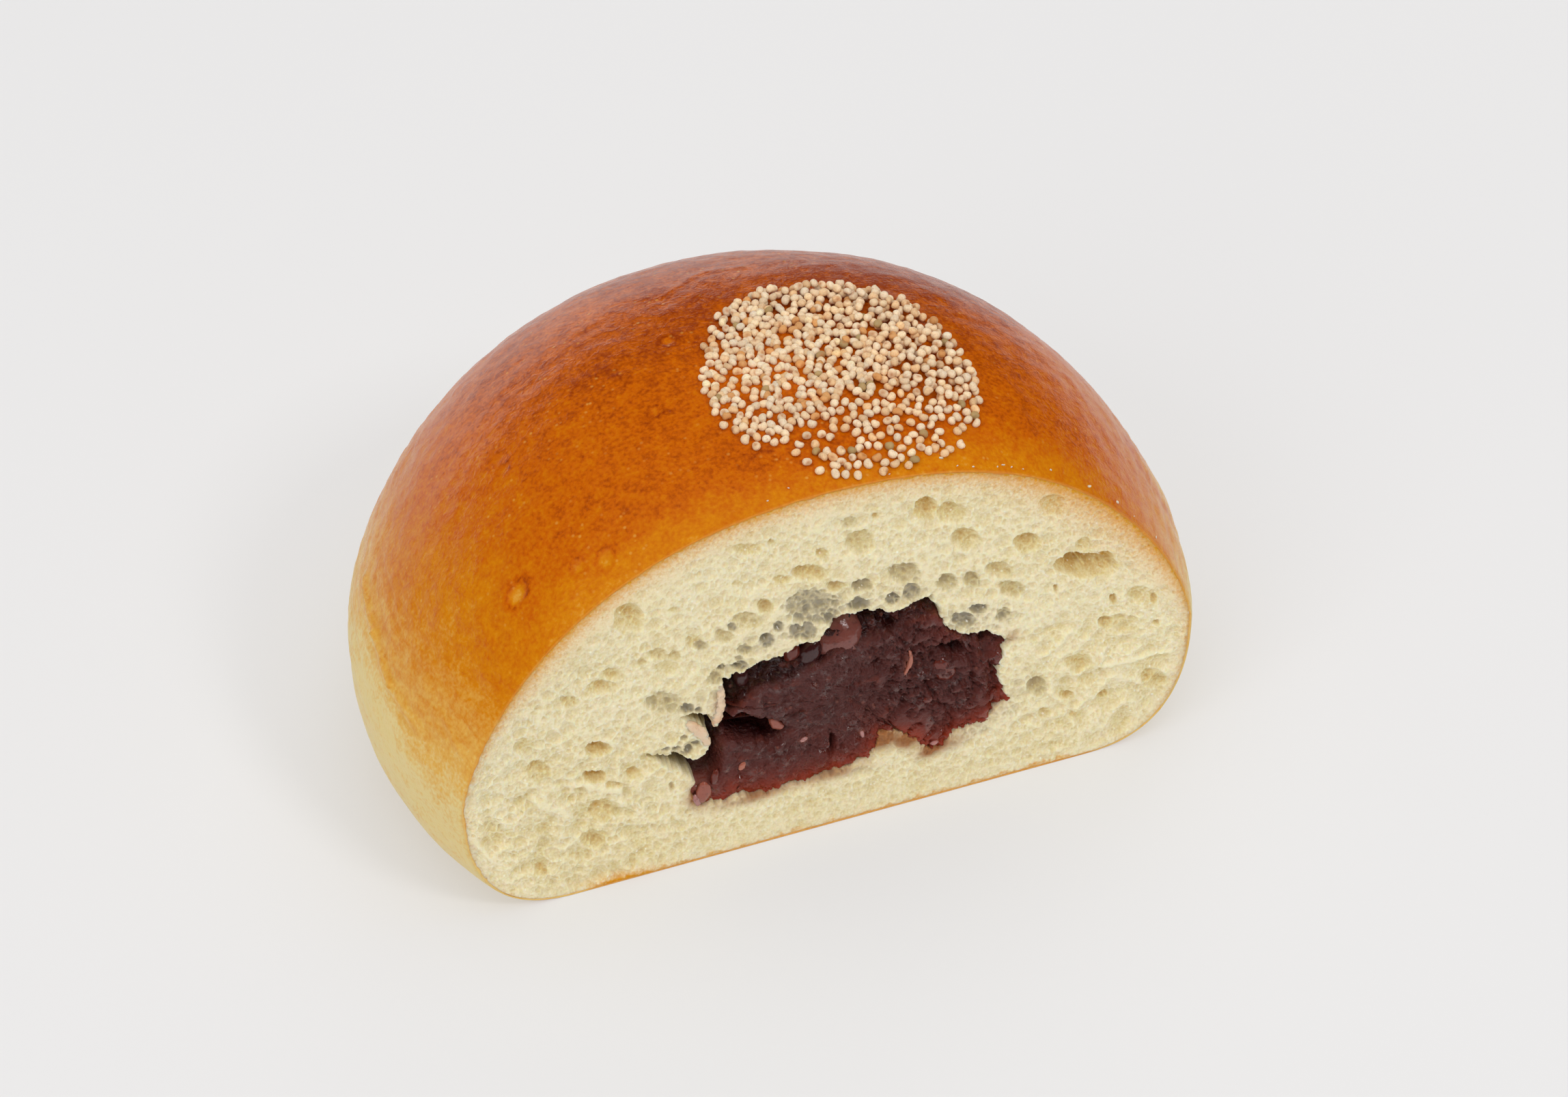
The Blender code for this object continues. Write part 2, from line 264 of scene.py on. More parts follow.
class Paint:
    """The nodes of one material, about its Principled shader."""

    def __init__(self, name: str) -> None:
        """Starts an empty material of that name."""
        self.material = bpy.data.materials.new(name)
        self.material.use_nodes = True
        self.tree = self.material.node_tree
        self.shader = self.tree.nodes["Principled BSDF"]
        self.place = self.node("ShaderNodeTexCoord").outputs["Object"]

    def node(self, kind: str, settings: dict | None = None, inputs: dict | None = None) -> bpy.types.Node:
        """Adds a node.

        Args:
            kind: The node's type.
            settings: Its properties, set first. A ramp's stops are pairs of place and colour under "stops".
            inputs: Values, sockets or Values for its inputs, by name or number.

        Returns:
            The node.
        """
        node = self.tree.nodes.new(kind)
        for key, value in (settings or {}).items():
            if key == "stops":
                self.set_stops(node.color_ramp.elements, value)
            else:
                setattr(node, key, value)
        for key, value in (inputs or {}).items():
            self.feed(node.inputs[key], value)
        return node

    @staticmethod
    def set_stops(elements: bpy.types.ColorRampElements, stops: list[tuple[float, Colour]]) -> None:
        """Gives a ramp its stops, from left to right."""
        while len(elements) < len(stops):
            elements.new(1.0)
        for element, (place, colour) in zip(elements, stops):
            element.position = place
            element.color = (*colour, 1.0)

    def feed(self, socket: bpy.types.NodeSocket, value: object) -> None:
        """Links a socket to a Value or another socket, or sets it to a number or colour."""
        if isinstance(value, Value):
            value = value.socket
        if isinstance(value, bpy.types.NodeSocket):
            self.tree.links.new(value, socket)
        elif isinstance(value, tuple) and socket.type == "RGBA":
            socket.default_value = (*value, 1.0)
        else:
            socket.default_value = value

    def attribute(self, name: str) -> Value:
        """The number that each vertex holds under that name."""
        return Value(self, self.node("ShaderNodeAttribute", {"attribute_name": name}).outputs["Fac"])

    def attribute_colour(self, name: str) -> bpy.types.NodeSocket:
        """The colour that each vertex holds under that name."""
        return self.node("ShaderNodeAttribute", {"attribute_name": name}).outputs["Color"]

    def spread(self, scale: Triple, shift: float) -> bpy.types.NodeSocket:
        """Object coordinates times a scale, moved by a shift along each axis."""
        inputs = {"Vector": self.place, "Scale": scale, "Location": (shift, shift, shift)}
        return self.node("ShaderNodeMapping", None, inputs).outputs[0]

    def noise(
        self, size: float, detail: float = 2.0, stretch: Triple = (1.0, 1.0, 1.0), shift: float = 0.0
    ) -> Value:
        """Blender's noise on object coordinates, from 0 to 1 about a half.

        Args:
            size: Width of a blotch in millimetres.
            detail: Layers of finer noise.
            stretch: How much longer the blotches are along each axis.
            shift: Moves the pattern, so that two noises of a size differ.

        Returns:
            The noise.
        """
        place = self.spread(tuple(1.0 / (size * MM * s) for s in stretch), shift)
        inputs = {"Vector": place, "Scale": 1.0, "Detail": detail}
        return Value(self, self.node("ShaderNodeTexNoise", None, inputs).outputs["Fac"])

    def spots(self, size: float, shift: float = 0.0) -> Value:
        """Distance to the nearest of scattered points, over the pitch of the points in millimetres."""
        place = self.spread((1.0 / (size * MM),) * 3, shift)
        node = self.node("ShaderNodeTexVoronoi", {"feature": "F1"}, {"Vector": place, "Scale": 1.0})
        return Value(self, node.outputs["Distance"])

    def mix(self, share: Value | float, first: object, second: object) -> bpy.types.NodeSocket:
        """A colour between two.

        Args:
            share: 0 for the first colour, 1 for the second.
            first: Colour or socket.
            second: Colour or socket.

        Returns:
            The mixed colour.
        """
        node = self.node("ShaderNodeMix", {"data_type": "RGBA", "clamp_factor": True})
        self.feed(node.inputs["Factor"], share)
        self.feed(node.inputs[6], first)
        self.feed(node.inputs[7], second)
        return node.outputs[2]

    def ramp(self, value: Value, stops: list[tuple[float, Colour]]) -> bpy.types.NodeSocket:
        """The colour that a ramp of these stops gives for a value."""
        return self.node("ShaderNodeValToRGB", {"stops": stops}, {"Fac": value}).outputs["Color"]

    def bump(self, height: Value, distance: float, strength: float = 1.0) -> bpy.types.NodeSocket:
        """A normal from a height map, whose full height stands for that distance in millimetres."""
        inputs = {"Height": height, "Distance": distance * MM, "Strength": strength}
        return self.node("ShaderNodeBump", None, inputs).outputs["Normal"]

    def drive(self, **inputs: object) -> bpy.types.Material:
        """Feeds the shader's inputs, named with underscores for spaces, and returns the material."""
        for key, value in inputs.items():
            self.feed(self.shader.inputs[key.replace("_", " ")], value)
        return self.material


@dataclass(frozen=True)
class Form:
    """The whole bun before it was cut: a low dome on a flat base, with the knife in front of its middle.

    Attributes:
        radius_x: Half of its width along the cut.
        radius_y: Half of its depth.
        height: Height of the dome.
        widest: Height at which it is widest.
        dome_power: Power of the share of the radius in the dome's curve.
        dome_exponent: Power of what is left, which squares the shoulder.
        under_power: Power of the rounded underside's curve.
        flat_share: Share of the radius over which the base is flat.
        middle: Depth of the bun's middle behind the cut.
        beyond: How far past its widest radius the search for the skin starts.
        halvings: How often that search halves its interval.
    """

    radius_x: float = 48.0
    radius_y: float = 47.2
    height: float = 51.4
    widest: float = 16.8
    dome_power: float = 2.8
    dome_exponent: float = 0.70
    under_power: float = 2.45
    flat_share: float = 0.765
    middle: float = 20.0
    beyond: float = 2.0
    halvings: int = 26

    @property
    def cut_y(self) -> float:
        """Place of the cut along the row's Y."""
        return -(self.radius_y + self.middle) / 2.0

    def share(self, x: np.ndarray, depth: np.ndarray) -> np.ndarray:
        """Distance from the bun's middle over its radius in that direction."""
        return np.hypot(x / self.radius_x, (depth - self.middle) / self.radius_y)

    def dome(self, share: np.ndarray) -> np.ndarray:
        """Height of the top: the widest height plus the rise times (1 - share to a power) to an exponent."""
        left = np.clip(1.0 - share**self.dome_power, 0.0, 1.0)
        return self.widest + (self.height - self.widest) * left**self.dome_exponent

    def under(self, share: np.ndarray) -> np.ndarray:
        """Height of the underside: flat, then a quarter of a superellipse up to the widest height."""
        w = np.clip((share - self.flat_share) / (1.0 - self.flat_share), 0.0, 1.0)
        left = np.clip(1.0 - w**self.under_power, 0.0, 1.0)
        return self.widest * (1.0 - left ** (1.0 / self.under_power))

    def top(self, x: np.ndarray, depth: np.ndarray) -> np.ndarray:
        """Height of the top over a point of the ground plan."""
        return self.dome(self.share(x, depth))

    def reach(self, turn: np.ndarray, depth: np.ndarray) -> np.ndarray:
        """Distance from the line at the widest height to the skin, within a slice, by halving an interval.

        Args:
            turn: Direction within the slice, 0 to the right and a quarter turn straight up.
            depth: Depth of the slice behind the cut.

        Returns:
            The distances.
        """
        near = np.zeros(np.broadcast(turn, depth).shape)
        far = near + self.radius_x + self.beyond
        for _ in range(self.halvings):
            middle = (near + far) / 2.0
            x = middle * np.cos(turn)
            z = self.widest + middle * np.sin(turn)
            share = self.share(x, depth)
            inside = (share < 1.0) & (z < self.dome(share)) & (z > self.under(share))
            near = np.where(inside, middle, near)
            far = np.where(inside, far, middle)
        return (near + far) / 2.0

    def placed(self, points: np.ndarray) -> np.ndarray:
        """Turns points of the cut's frame in millimetres into metres in the row's frame."""
        moved = points.astype(float).copy()
        moved[..., 1] += self.cut_y
        return moved * MM


def grid_quads(rows: int, columns: int, closed: bool) -> np.ndarray:
    """Faces of a grid whose points are numbered row by row.

    Args:
        rows: Number of rows of points.
        columns: Number of points in a row.
        closed: Whether the last column joins the first.

    Returns:
        Four point numbers for each face.
    """
    i = np.arange(rows - 1)[:, None] * columns
    j = np.arange(columns if closed else columns - 1)[None, :]
    k = (j + 1) % columns
    return np.stack([i + j, i + k, i + columns + k, i + columns + j], axis=-1).reshape(-1, 4)


def repeated(faces: np.ndarray, copies: int, points: int) -> np.ndarray:
    """Faces of equal shapes in one mesh: each copy's point numbers start after those of the one before.

    Args:
        faces: Point numbers of one shape's faces.
        copies: How many shapes.
        points: Points in one shape.

    Returns:
        Four point numbers for each face of all of them.
    """
    return (faces[None] + np.arange(copies)[:, None, None] * points).reshape(-1, 4)


def grids_quads(shapes: np.ndarray) -> np.ndarray:
    """Faces of equal closed grids in one mesh, from their points as shapes by rows by columns by three."""
    count, rows, columns, _ = shapes.shape
    return repeated(grid_quads(rows, columns, closed=True), count, rows * columns)


def grid_normals(points: np.ndarray, closed: bool) -> np.ndarray:
    """Unit normals of a grid of points, from the cross product of its two central differences.

    Args:
        points: Rows by columns by three.
        closed: Whether the last column joins the first.

    Returns:
        Normals, turned so that the crossing runs from rows to columns.
    """
    if closed:
        along = np.roll(points, -1, axis=1) - np.roll(points, 1, axis=1)
    else:
        along = np.gradient(points, axis=1)
    down = np.gradient(points, axis=0)
    normal = np.cross(down, along)
    return normal / np.maximum(np.linalg.norm(normal, axis=-1, keepdims=True), 1e-12)


def oval_tube(
    centres: np.ndarray, half_width: np.ndarray, half_depth: np.ndarray, tilt: float, columns: int
) -> np.ndarray:
    """Ovals along a line that runs within the cut's plane: each point is the line's point plus the half width
    times the cosine across the line plus the half depth times the sine towards the cut.

    Args:
        centres: Points of the line.
        half_width: Half width at each of them.
        half_depth: Half depth at each of them.
        tilt: Direction of the line in radians, 0 to the right.
        columns: Points round each oval.

    Returns:
        Rows by columns by three.
    """
    turn = np.linspace(0.0, math.tau, columns, endpoint=False)[None, :, None]
    across = np.array([-math.sin(tilt), 0.0, math.cos(tilt)])
    towards = np.array([0.0, -1.0, 0.0])
    side = half_width[:, None, None] * np.cos(turn) * across
    return centres[:, None, :] + side + half_depth[:, None, None] * np.sin(turn) * towards


def make_piece(
    name: str,
    points: np.ndarray,
    faces: np.ndarray,
    material: bpy.types.Material,
    values: dict[str, np.ndarray] | None = None,
) -> bpy.types.Object:
    """Puts a smooth mesh into the scene.

    Args:
        name: The piece's name.
        points: Places of its vertices in the row's frame in metres, their three coordinates last.
        faces: Vertex numbers, equally many for each face.
        material: Its finish.
        values: Numbers, or colours of four parts, that the vertices hold by name.

    Returns:
        The object, at the origin, unturned and unscaled.
    """
    mesh = bpy.data.meshes.new(name)
    points = points.reshape(-1, 3)
    corners = faces.shape[1]
    mesh.vertices.add(len(points))
    mesh.vertices.foreach_set("co", points.astype(np.float32).ravel())
    mesh.loops.add(faces.size)
    mesh.loops.foreach_set("vertex_index", faces.astype(np.int32).ravel())
    mesh.polygons.add(len(faces))
    mesh.polygons.foreach_set("loop_start", np.arange(0, faces.size, corners, dtype=np.int32))
    mesh.update(calc_edges=True)
    for key, value in (values or {}).items():
        flat = value.reshape(len(points), -1)
        kind, part = ("FLOAT", "value") if flat.shape[1] == 1 else ("FLOAT_COLOR", "color")
        mesh.attributes.new(key, kind, "POINT").data.foreach_set(part, flat.astype(np.float32).ravel())
    mesh.validate()
    mesh.shade_smooth()
    mesh.materials.append(material)
    piece = bpy.data.objects.new(name, mesh)
    bpy.context.scene.collection.objects.link(piece)
    return piece


def belongs(piece: bpy.types.Object, node: str) -> bpy.types.Object:
    """Lets a piece ride with the bun and stand for a CAD node, which it hides."""
    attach(piece, "root")
    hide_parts(node)
    return piece


@dataclass(frozen=True)
class CrustFinish:
    """Satin baked skin: pale at its foot, orange-brown on its flank and top, darkest at the back of the top.

    The colours run from the foot up, and the stops say how far the skin is baked at the first five of them.
    The edge and the pale edge are the skin's own thickness where the knife went through it.
    """

    foot: Colour = linear(232, 208, 140)
    low: Colour = linear(228, 176, 80)
    flank: Colour = linear(213, 130, 6)
    crown: Colour = linear(197, 93, 0)
    scorch: Colour = linear(146, 54, 0)
    edge: Colour = linear(222, 148, 62)
    pale_edge: Colour = linear(230, 188, 108)
    sole: Colour = linear(204, 148, 94)
    stops: tuple[float, ...] = (0.0, 0.22, 0.52, 0.8, 1.0)

    def made(self) -> bpy.types.Material:
        """The crust's material. The vertices hold how far it is baked, how much of the cut lip they are, how
        brown the lip is, and the pale middles and dark rings of blisters.
        """
        paint = Paint("baked_crust")
        baked = paint.attribute("baked")
        blotch = paint.noise(9.0, 3.0) - 0.5
        mottle = paint.noise(1.6, 4.0, shift=3.0) - 0.5
        fine = paint.noise(0.45, 3.0, shift=7.0) - 0.5
        lip = paint.attribute("lip")
        streak = paint.noise(0.9, 2.0, stretch=(5.0, 5.0, 1.0), shift=4.0) - 0.5
        streak = streak * (1.0 - baked.step(0.45, 0.75))
        tone = baked + blotch * 0.16 + mottle * 0.36
        tone = tone + fine * 0.48 + streak * 0.28 + paint.attribute("ring")
        tones = (self.foot, self.low, self.flank, self.crown, self.scorch)
        colour = paint.ramp(tone.clamped(), list(zip(self.stops, tones)))
        drifts = paint.noise(6.0, 1.0, shift=5.0).step(0.42, 0.7)
        speck = paint.spots(1.15, shift=1.0).step(0.24, 0.06) * drifts
        colour = paint.mix(speck * 0.45, colour, self.low)
        colour = paint.mix(paint.attribute("sole"), colour, self.sole)
        browned = paint.attribute("edge") + fine + mottle * 0.5
        rim = paint.mix(browned.clamped(), self.pale_edge, self.edge)
        colour = paint.mix(lip, colour, rim)
        skin = fine * 0.5 + mottle * 0.6 + paint.noise(0.2, 2.0, shift=9.0) * 0.25
        rough = 0.24 + mottle * 0.16 + lip * 0.4 + (1.0 - baked.step(0.0, 0.45)) * 0.15
        return paint.drive(
            Base_Color=colour,
            Roughness=rough.clamped(),
            Normal=paint.bump(skin, 0.15, 0.8),
            Subsurface_Weight=0.12,
            Subsurface_Radius=(1.0, 0.35, 0.12),
            Subsurface_Scale=1.2 * MM,
            Specular_IOR_Level=0.24,
            Specular_Tint=(1.0, 0.90, 0.60),
        )


@dataclass(frozen=True)
class Blister:
    """A small raised bubble of the skin.

    Attributes:
        x: Place along the cut.
        depth: Place behind the cut.
        radius: Radius in millimetres.
        rise: Height in millimetres, below zero for a dent.
        large: Least radius of a broad dent low on the flank.
    """

    x: float
    depth: float
    radius: float
    rise: float
    large: float = 3.0

    def place(self, points: np.ndarray) -> np.ndarray:
        """Distance of points from its middle on the ground plan, over its radius."""
        return np.hypot(points[..., 0] - self.x, points[..., 1] - self.depth) / self.radius

    def bulge(self, points: np.ndarray) -> np.ndarray:
        """How far the skin rises: a bell with a shallow ring sunk round it, on the upper side of the skin
        only, or on its lower side for a broad dent.
        """
        near, z = self.place(points), points[..., 2]
        high = smooth(24.0, 28.0, z) if self.radius < self.large else smooth(36.0, 30.0, z)
        ring = 0.35 * np.exp(-((near - 1.25) ** 2) / 0.08)
        return self.rise * high * (np.exp(-(near**2) * 1.4) - ring)

    def tone(self, points: np.ndarray) -> np.ndarray:
        """How much darker the skin is: a dark ring, less a bell for the pale middle."""
        near = self.place(points)
        ring = np.exp(-((near - 1.05) ** 2) / 0.07)
        return 0.8 * abs(self.rise) * (ring - 1.3 * np.exp(-(near**2) * 2.2))


@dataclass(frozen=True)
class Crease:
    """A fold of the skin along a straight line.

    Attributes:
        start: One end as x, depth and height.
        end: The other end.
        width: Half width of the groove.
        sink: Depth of the groove.
    """

    start: Triple
    end: Triple
    width: float
    sink: float

    def groove(self, points: np.ndarray) -> np.ndarray:
        """How far the skin sinks: a bell of the distance to the line."""
        start, along = np.array(self.start), np.array(self.end) - np.array(self.start)
        share = np.clip((points - start) @ along / (along @ along), 0.0, 1.0)
        away = np.linalg.norm(points - start - share[..., None] * along, axis=-1)
        return self.sink * np.exp(-((away / self.width) ** 2))


@dataclass
class Crust:
    """The baked skin: dome, rounded foot and sole in one sheet, which turns in over the cut as a thin lip.

    Lengths are in millimetres. Each ring of the lip is how far it lies inward and behind the cut, and its
    share is how much it looks like a cut edge.
    """

    form: Form
    slices: int = 226
    around: int = 430
    sole_share: float = 0.30
    lip: tuple[tuple[float, float], ...] = ((1.3, 1.5), (0.65, 0.62), (0.32, 0.14), (0.10, 0.04))
    lip_shares: tuple[float, ...] = (1.0, 1.0, 0.9, 0.5, 0.35, 0.1)
    rim_depth: float = 0.14
    behind: float = 0.07
    bake_heights: tuple[float, ...] = (0.0, 6.0, 14.0, 22.0, 32.0, 42.0, 52.0)
    bake_levels: tuple[float, ...] = (0.0, 0.01, 0.12, 0.37, 0.58, 0.73, 0.84)
    swell: Swell = Swell(3, 34.0, 0.38)
    ripple: Swell = Swell(5, 9.0, 0.10, 3)
    wrinkles: Swell = Swell(9, 2.6, 1.0, 2)
    wrinkle_rise: float = 0.13
    pucker: Swell = Swell(13, 2.3, 0.075, 2)
    drifts: tuple[Swell, Swell] = (Swell(21, 22.0, 0.05), Swell(23, 8.0, 0.03))
    wobble: Swell = Swell(31, 1.6, 0.50, 3)
    blisters: tuple[Blister, ...] = listed(
        Blister,
        (-33.6, 7.3, 1.15, 0.3), (-24.6, 3.5, 1, 0.2), (-27.4, 4.6, 0.8, 0.15), (-13.6, 17.9, 0.8, 0.18),
        (-8.3, 28.6, 0.9, 0.18), (-30, 22, 0.7, 0.14), (44.8, 13, 3.2, -0.22),
    )
    creases: tuple[Crease, ...] = listed(
        Crease,
        ((-44.3, 31, 25.8), (-45.7, 22.9, 24.8), 0.55, 0.45),
        ((-45.7, 22.9, 24.8), (-46.3, 16, 23.1), 0.5, 0.4),
        ((-46.3, 16, 23.1), (-45.6, 10.5, 22.4), 0.45, 0.2),
        ((-5.2, 38.3, 49.4), (0.6, 41.5, 48.7), 0.6, 0.1), ((0.6, 41.5, 48.7), (5, 41, 48.8), 0.6, 0.08),
        ((-43.6, 6.4, 26), (-42.4, 1.4, 23), 0.4, 0.18),
    )
    finish: CrustFinish = field(default_factory=CrustFinish)

    def turns(self) -> np.ndarray:
        """Directions of the points within a ring: even along the cut's outline, but sparse along the sole."""
        fine = np.linspace(-math.pi, math.pi, 4001)
        reach = self.form.reach(fine, np.zeros_like(fine))
        outline = np.stack([reach * np.cos(fine), reach * np.sin(fine)], axis=1)
        step = np.linalg.norm(np.diff(outline, axis=0), axis=1)
        low = (outline[1:, 1] + self.form.widest) < 0.3
        step = np.where(low, step * self.sole_share, step)
        length = np.concatenate([[0.0], np.cumsum(step)])
        return np.interp(np.linspace(0.0, length[-1], self.around, endpoint=False), length, fine)

    def bare_grid(self) -> np.ndarray:
        """Points of the smooth form, in rings at depths that follow the sine of an angle."""
        middle, radius = self.form.middle, self.form.radius_y
        angle = np.linspace(math.asin(-middle / radius), math.pi / 2 - 0.004, self.slices)[:, None]
        depth = middle + radius * np.sin(angle)
        turn = self.turns()[None, :]
        reach = self.form.reach(turn, depth)
        x = reach * np.cos(turn)
        z = self.form.widest + reach * np.sin(turn)
        return np.stack([x, depth + 0.0 * x, z], axis=-1)

    def relief(self, points: np.ndarray) -> np.ndarray:
        """How far the skin stands out: swells, puckers, wrinkles on the flanks, folds and blisters."""
        depth, z = points[..., 1], points[..., 2]
        rise = self.swell.at(points) + self.ripple.at(points)
        flank = smooth(41.0, 30.0, z) * smooth(4.0, 12.0, z)
        streak = self.wrinkles.at(points * np.array([0.35, 0.28, 1.0]))
        rise = rise + self.wrinkle_rise * flank * (1.0 - np.abs(streak)) ** 3
        rise = rise + self.pucker.at(points) * smooth(10.0, 24.0, z)
        rise = rise - sum(crease.groove(points) for crease in self.creases)
        for blister in self.blisters:
            rise = rise + blister.bulge(points)
        return rise * smooth(0.0, 1.2, z) * (0.1 + 0.9 * smooth(0.0, 4.0, depth))

    def baked(self, points: np.ndarray) -> np.ndarray:
        """How far the skin is baked, 0 at the foot to 1 at the back of the top: a curve of the height with
        soft drifts, more at the back and at the upper right, less under the fold and in a strip at the lower
        right. It is less at the far left, partly for a paler skin and partly as painted light and floor
        reflection at the left edge, and less along the top of the cut as a painted soft highlight.
        """
        x, depth, z = points[..., 0], points[..., 1], points[..., 2]
        rise = np.interp(z, self.bake_heights, self.bake_levels)
        drift = sum(swell.at(points) for swell in self.drifts)
        back = 0.14 * smooth(18.0, 40.0, depth) * smooth(24.0, 40.0, z)
        # Paler at the far left: partly a paler skin, partly painted light and floor reflection at the left
        # edge.
        left = 0.14 * smooth(-28.0, -46.0, x) * smooth(38.0, 18.0, z) + 0.10 * smooth(-45.0, -47.5, x)
        fold = 23.3 + 0.17 * (depth - 17.0)
        under_fold = smooth(fold + 1.0, fold - 1.6, z) * smooth(-43.5, -46.5, x)
        pale = 0.08 * under_fold * bell((depth - 22.0) / 10.0, 0.0)
        strip = 0.27 * smooth(38.0, 43.0, x) * smooth(28.0, 14.0, z) * smooth(12.0, 3.0, depth)
        right = 0.09 * smooth(6.0, 32.0, x) * smooth(20.0, 38.0, z) * smooth(0.0, 10.0, depth)
        # Paler along the top of the cut: a painted soft highlight, not a paler skin.
        front = 0.20 * smooth(6.0, 0.5, depth) * smooth(34.0, 44.0, z)
        return np.clip(rise + drift + back + right - left - pale - strip - front, 0.0, 1.0)

    def browned(self, points: np.ndarray) -> np.ndarray:
        """How brown the cut lip is: full along the top and the sole, and pale at the lower left corner."""
        x, z = points[..., 0], points[..., 2]
        upper = 0.25 + 0.75 * smooth(6.0, 24.0, z)
        sole = 0.9 * smooth(-30.5, -28.5, x) * smooth(33.0, 31.0, x)
        return np.where(z > 1.6, np.where(x < 0.0, upper * smooth(1.0, 14.0, z), upper), sole)

    def rings(self, points: np.ndarray) -> np.ndarray:
        """Tone of the blisters, on the upper skin behind the cut."""
        tone = sum(blister.tone(points) for blister in self.blisters)
        return tone * smooth(20.0, 24.0, points[..., 2]) * smooth(0.0, 1.0, points[..., 1])

    def lip_rows(self, rim: np.ndarray) -> np.ndarray:
        """Rings of the lip, innermost first: the rim's points moved towards the middle of the cut, by widths
        that wobble and thin out towards the sole.
        """
        inward = np.array([0.0, 0.0, self.form.widest]) - rim
        inward[:, 1] = 0.0
        inward = unit(inward)
        thin = 0.55 + 0.45 * smooth(1.0, 8.0, rim[:, 2:])
        width = np.clip(1.0 + self.wobble.at(rim)[:, None], 0.45, 1.7) * thin
        rows = [rim + inward * (reach * width) + np.array([0.0, depth, 0.0]) for reach, depth in self.lip]
        return np.stack(rows)

    def build(self) -> bpy.types.Object:
        """Makes the skin, and returns it riding with the bun."""
        smooth_form = self.bare_grid()
        out = -grid_normals(smooth_form, closed=True)
        skin = smooth_form + out * self.relief(smooth_form)[..., None]
        skin[..., 2] = np.maximum(skin[..., 2], 0.0)
        rim = skin[0]
        lip_rows = self.lip_rows(rim)
        rim[:, 1] += self.rim_depth
        behind_rim = rim + np.array([0.0, self.behind, 0.0])
        rear = np.array([0.0, skin[-1, :, 1].mean() + 0.02, self.form.widest])
        pole = np.broadcast_to(rear, rim.shape)
        points = np.concatenate([lip_rows, rim[None], behind_rim[None], skin[1:], pole[None]])
        lip = np.zeros(points.shape[:2])
        lip[: len(self.lip_shares)] = np.array(self.lip_shares)[:, None]
        sole = smooth(1.0, 0.15, points[..., 2]) * (1.0 - lip)
        values = {"baked": self.baked(points), "lip": lip, "sole": sole}
        values |= {"edge": self.browned(points), "ring": self.rings(points)}
        faces = grid_quads(points.shape[0], points.shape[1], closed=True)[:, ::-1]
        piece = make_piece("crust", self.form.placed(points), faces, self.finish.made(), values)
        return belongs(piece, BUN_NODE)


@dataclass(frozen=True)
class Pore:
    """A gas pore that the knife opened.

    Attributes:
        x: Place along the cut.
        z: Height.
        width: Half of its opening's width.
        height: Half of its opening's height.
        tilt: Turn of its long axis in degrees.
        sink: Depth of its bowl over its mean half size.
        wet: How grey and glossy paste has made it.
    """

    x: float
    z: float
    width: float
    height: float
    tilt: float = 0.0
    sink: float = 1.1
    wet: float = 0.0


@dataclass(frozen=True)
class Patch:
    """A soft oval on the cut.

    Attributes:
        x: Its middle along the cut.
        z: Its middle's height.
        width: Half of its width.
        height: Half of its height.
        weight: How strong it is.
    """

    x: float
    z: float
    width: float
    height: float
    weight: float = 1.0

    def at(self, x: np.ndarray, z: np.ndarray) -> np.ndarray:
        """The patch's strength at points of the cut."""
        return self.weight * bell((x - self.x) / self.width, (z - self.z) / self.height)


@dataclass(frozen=True)
class Ridge:
    """A torn thread or lip of crumb that stands out of the cut.

    Attributes:
        start: One end as x and height.
        end: The other end.
        width: Half width.
        rise: How far it stands out.
    """

    start: tuple[float, float]
    end: tuple[float, float]
    width: float
    rise: float

    def at(self, x: np.ndarray, z: np.ndarray) -> np.ndarray:
        """How far the cut stands out: a bell of the distance to the line between the two ends."""
        away = line_gap(x, z, self.start, self.end)
        return self.rise * np.exp(-((away / self.width) ** 2))


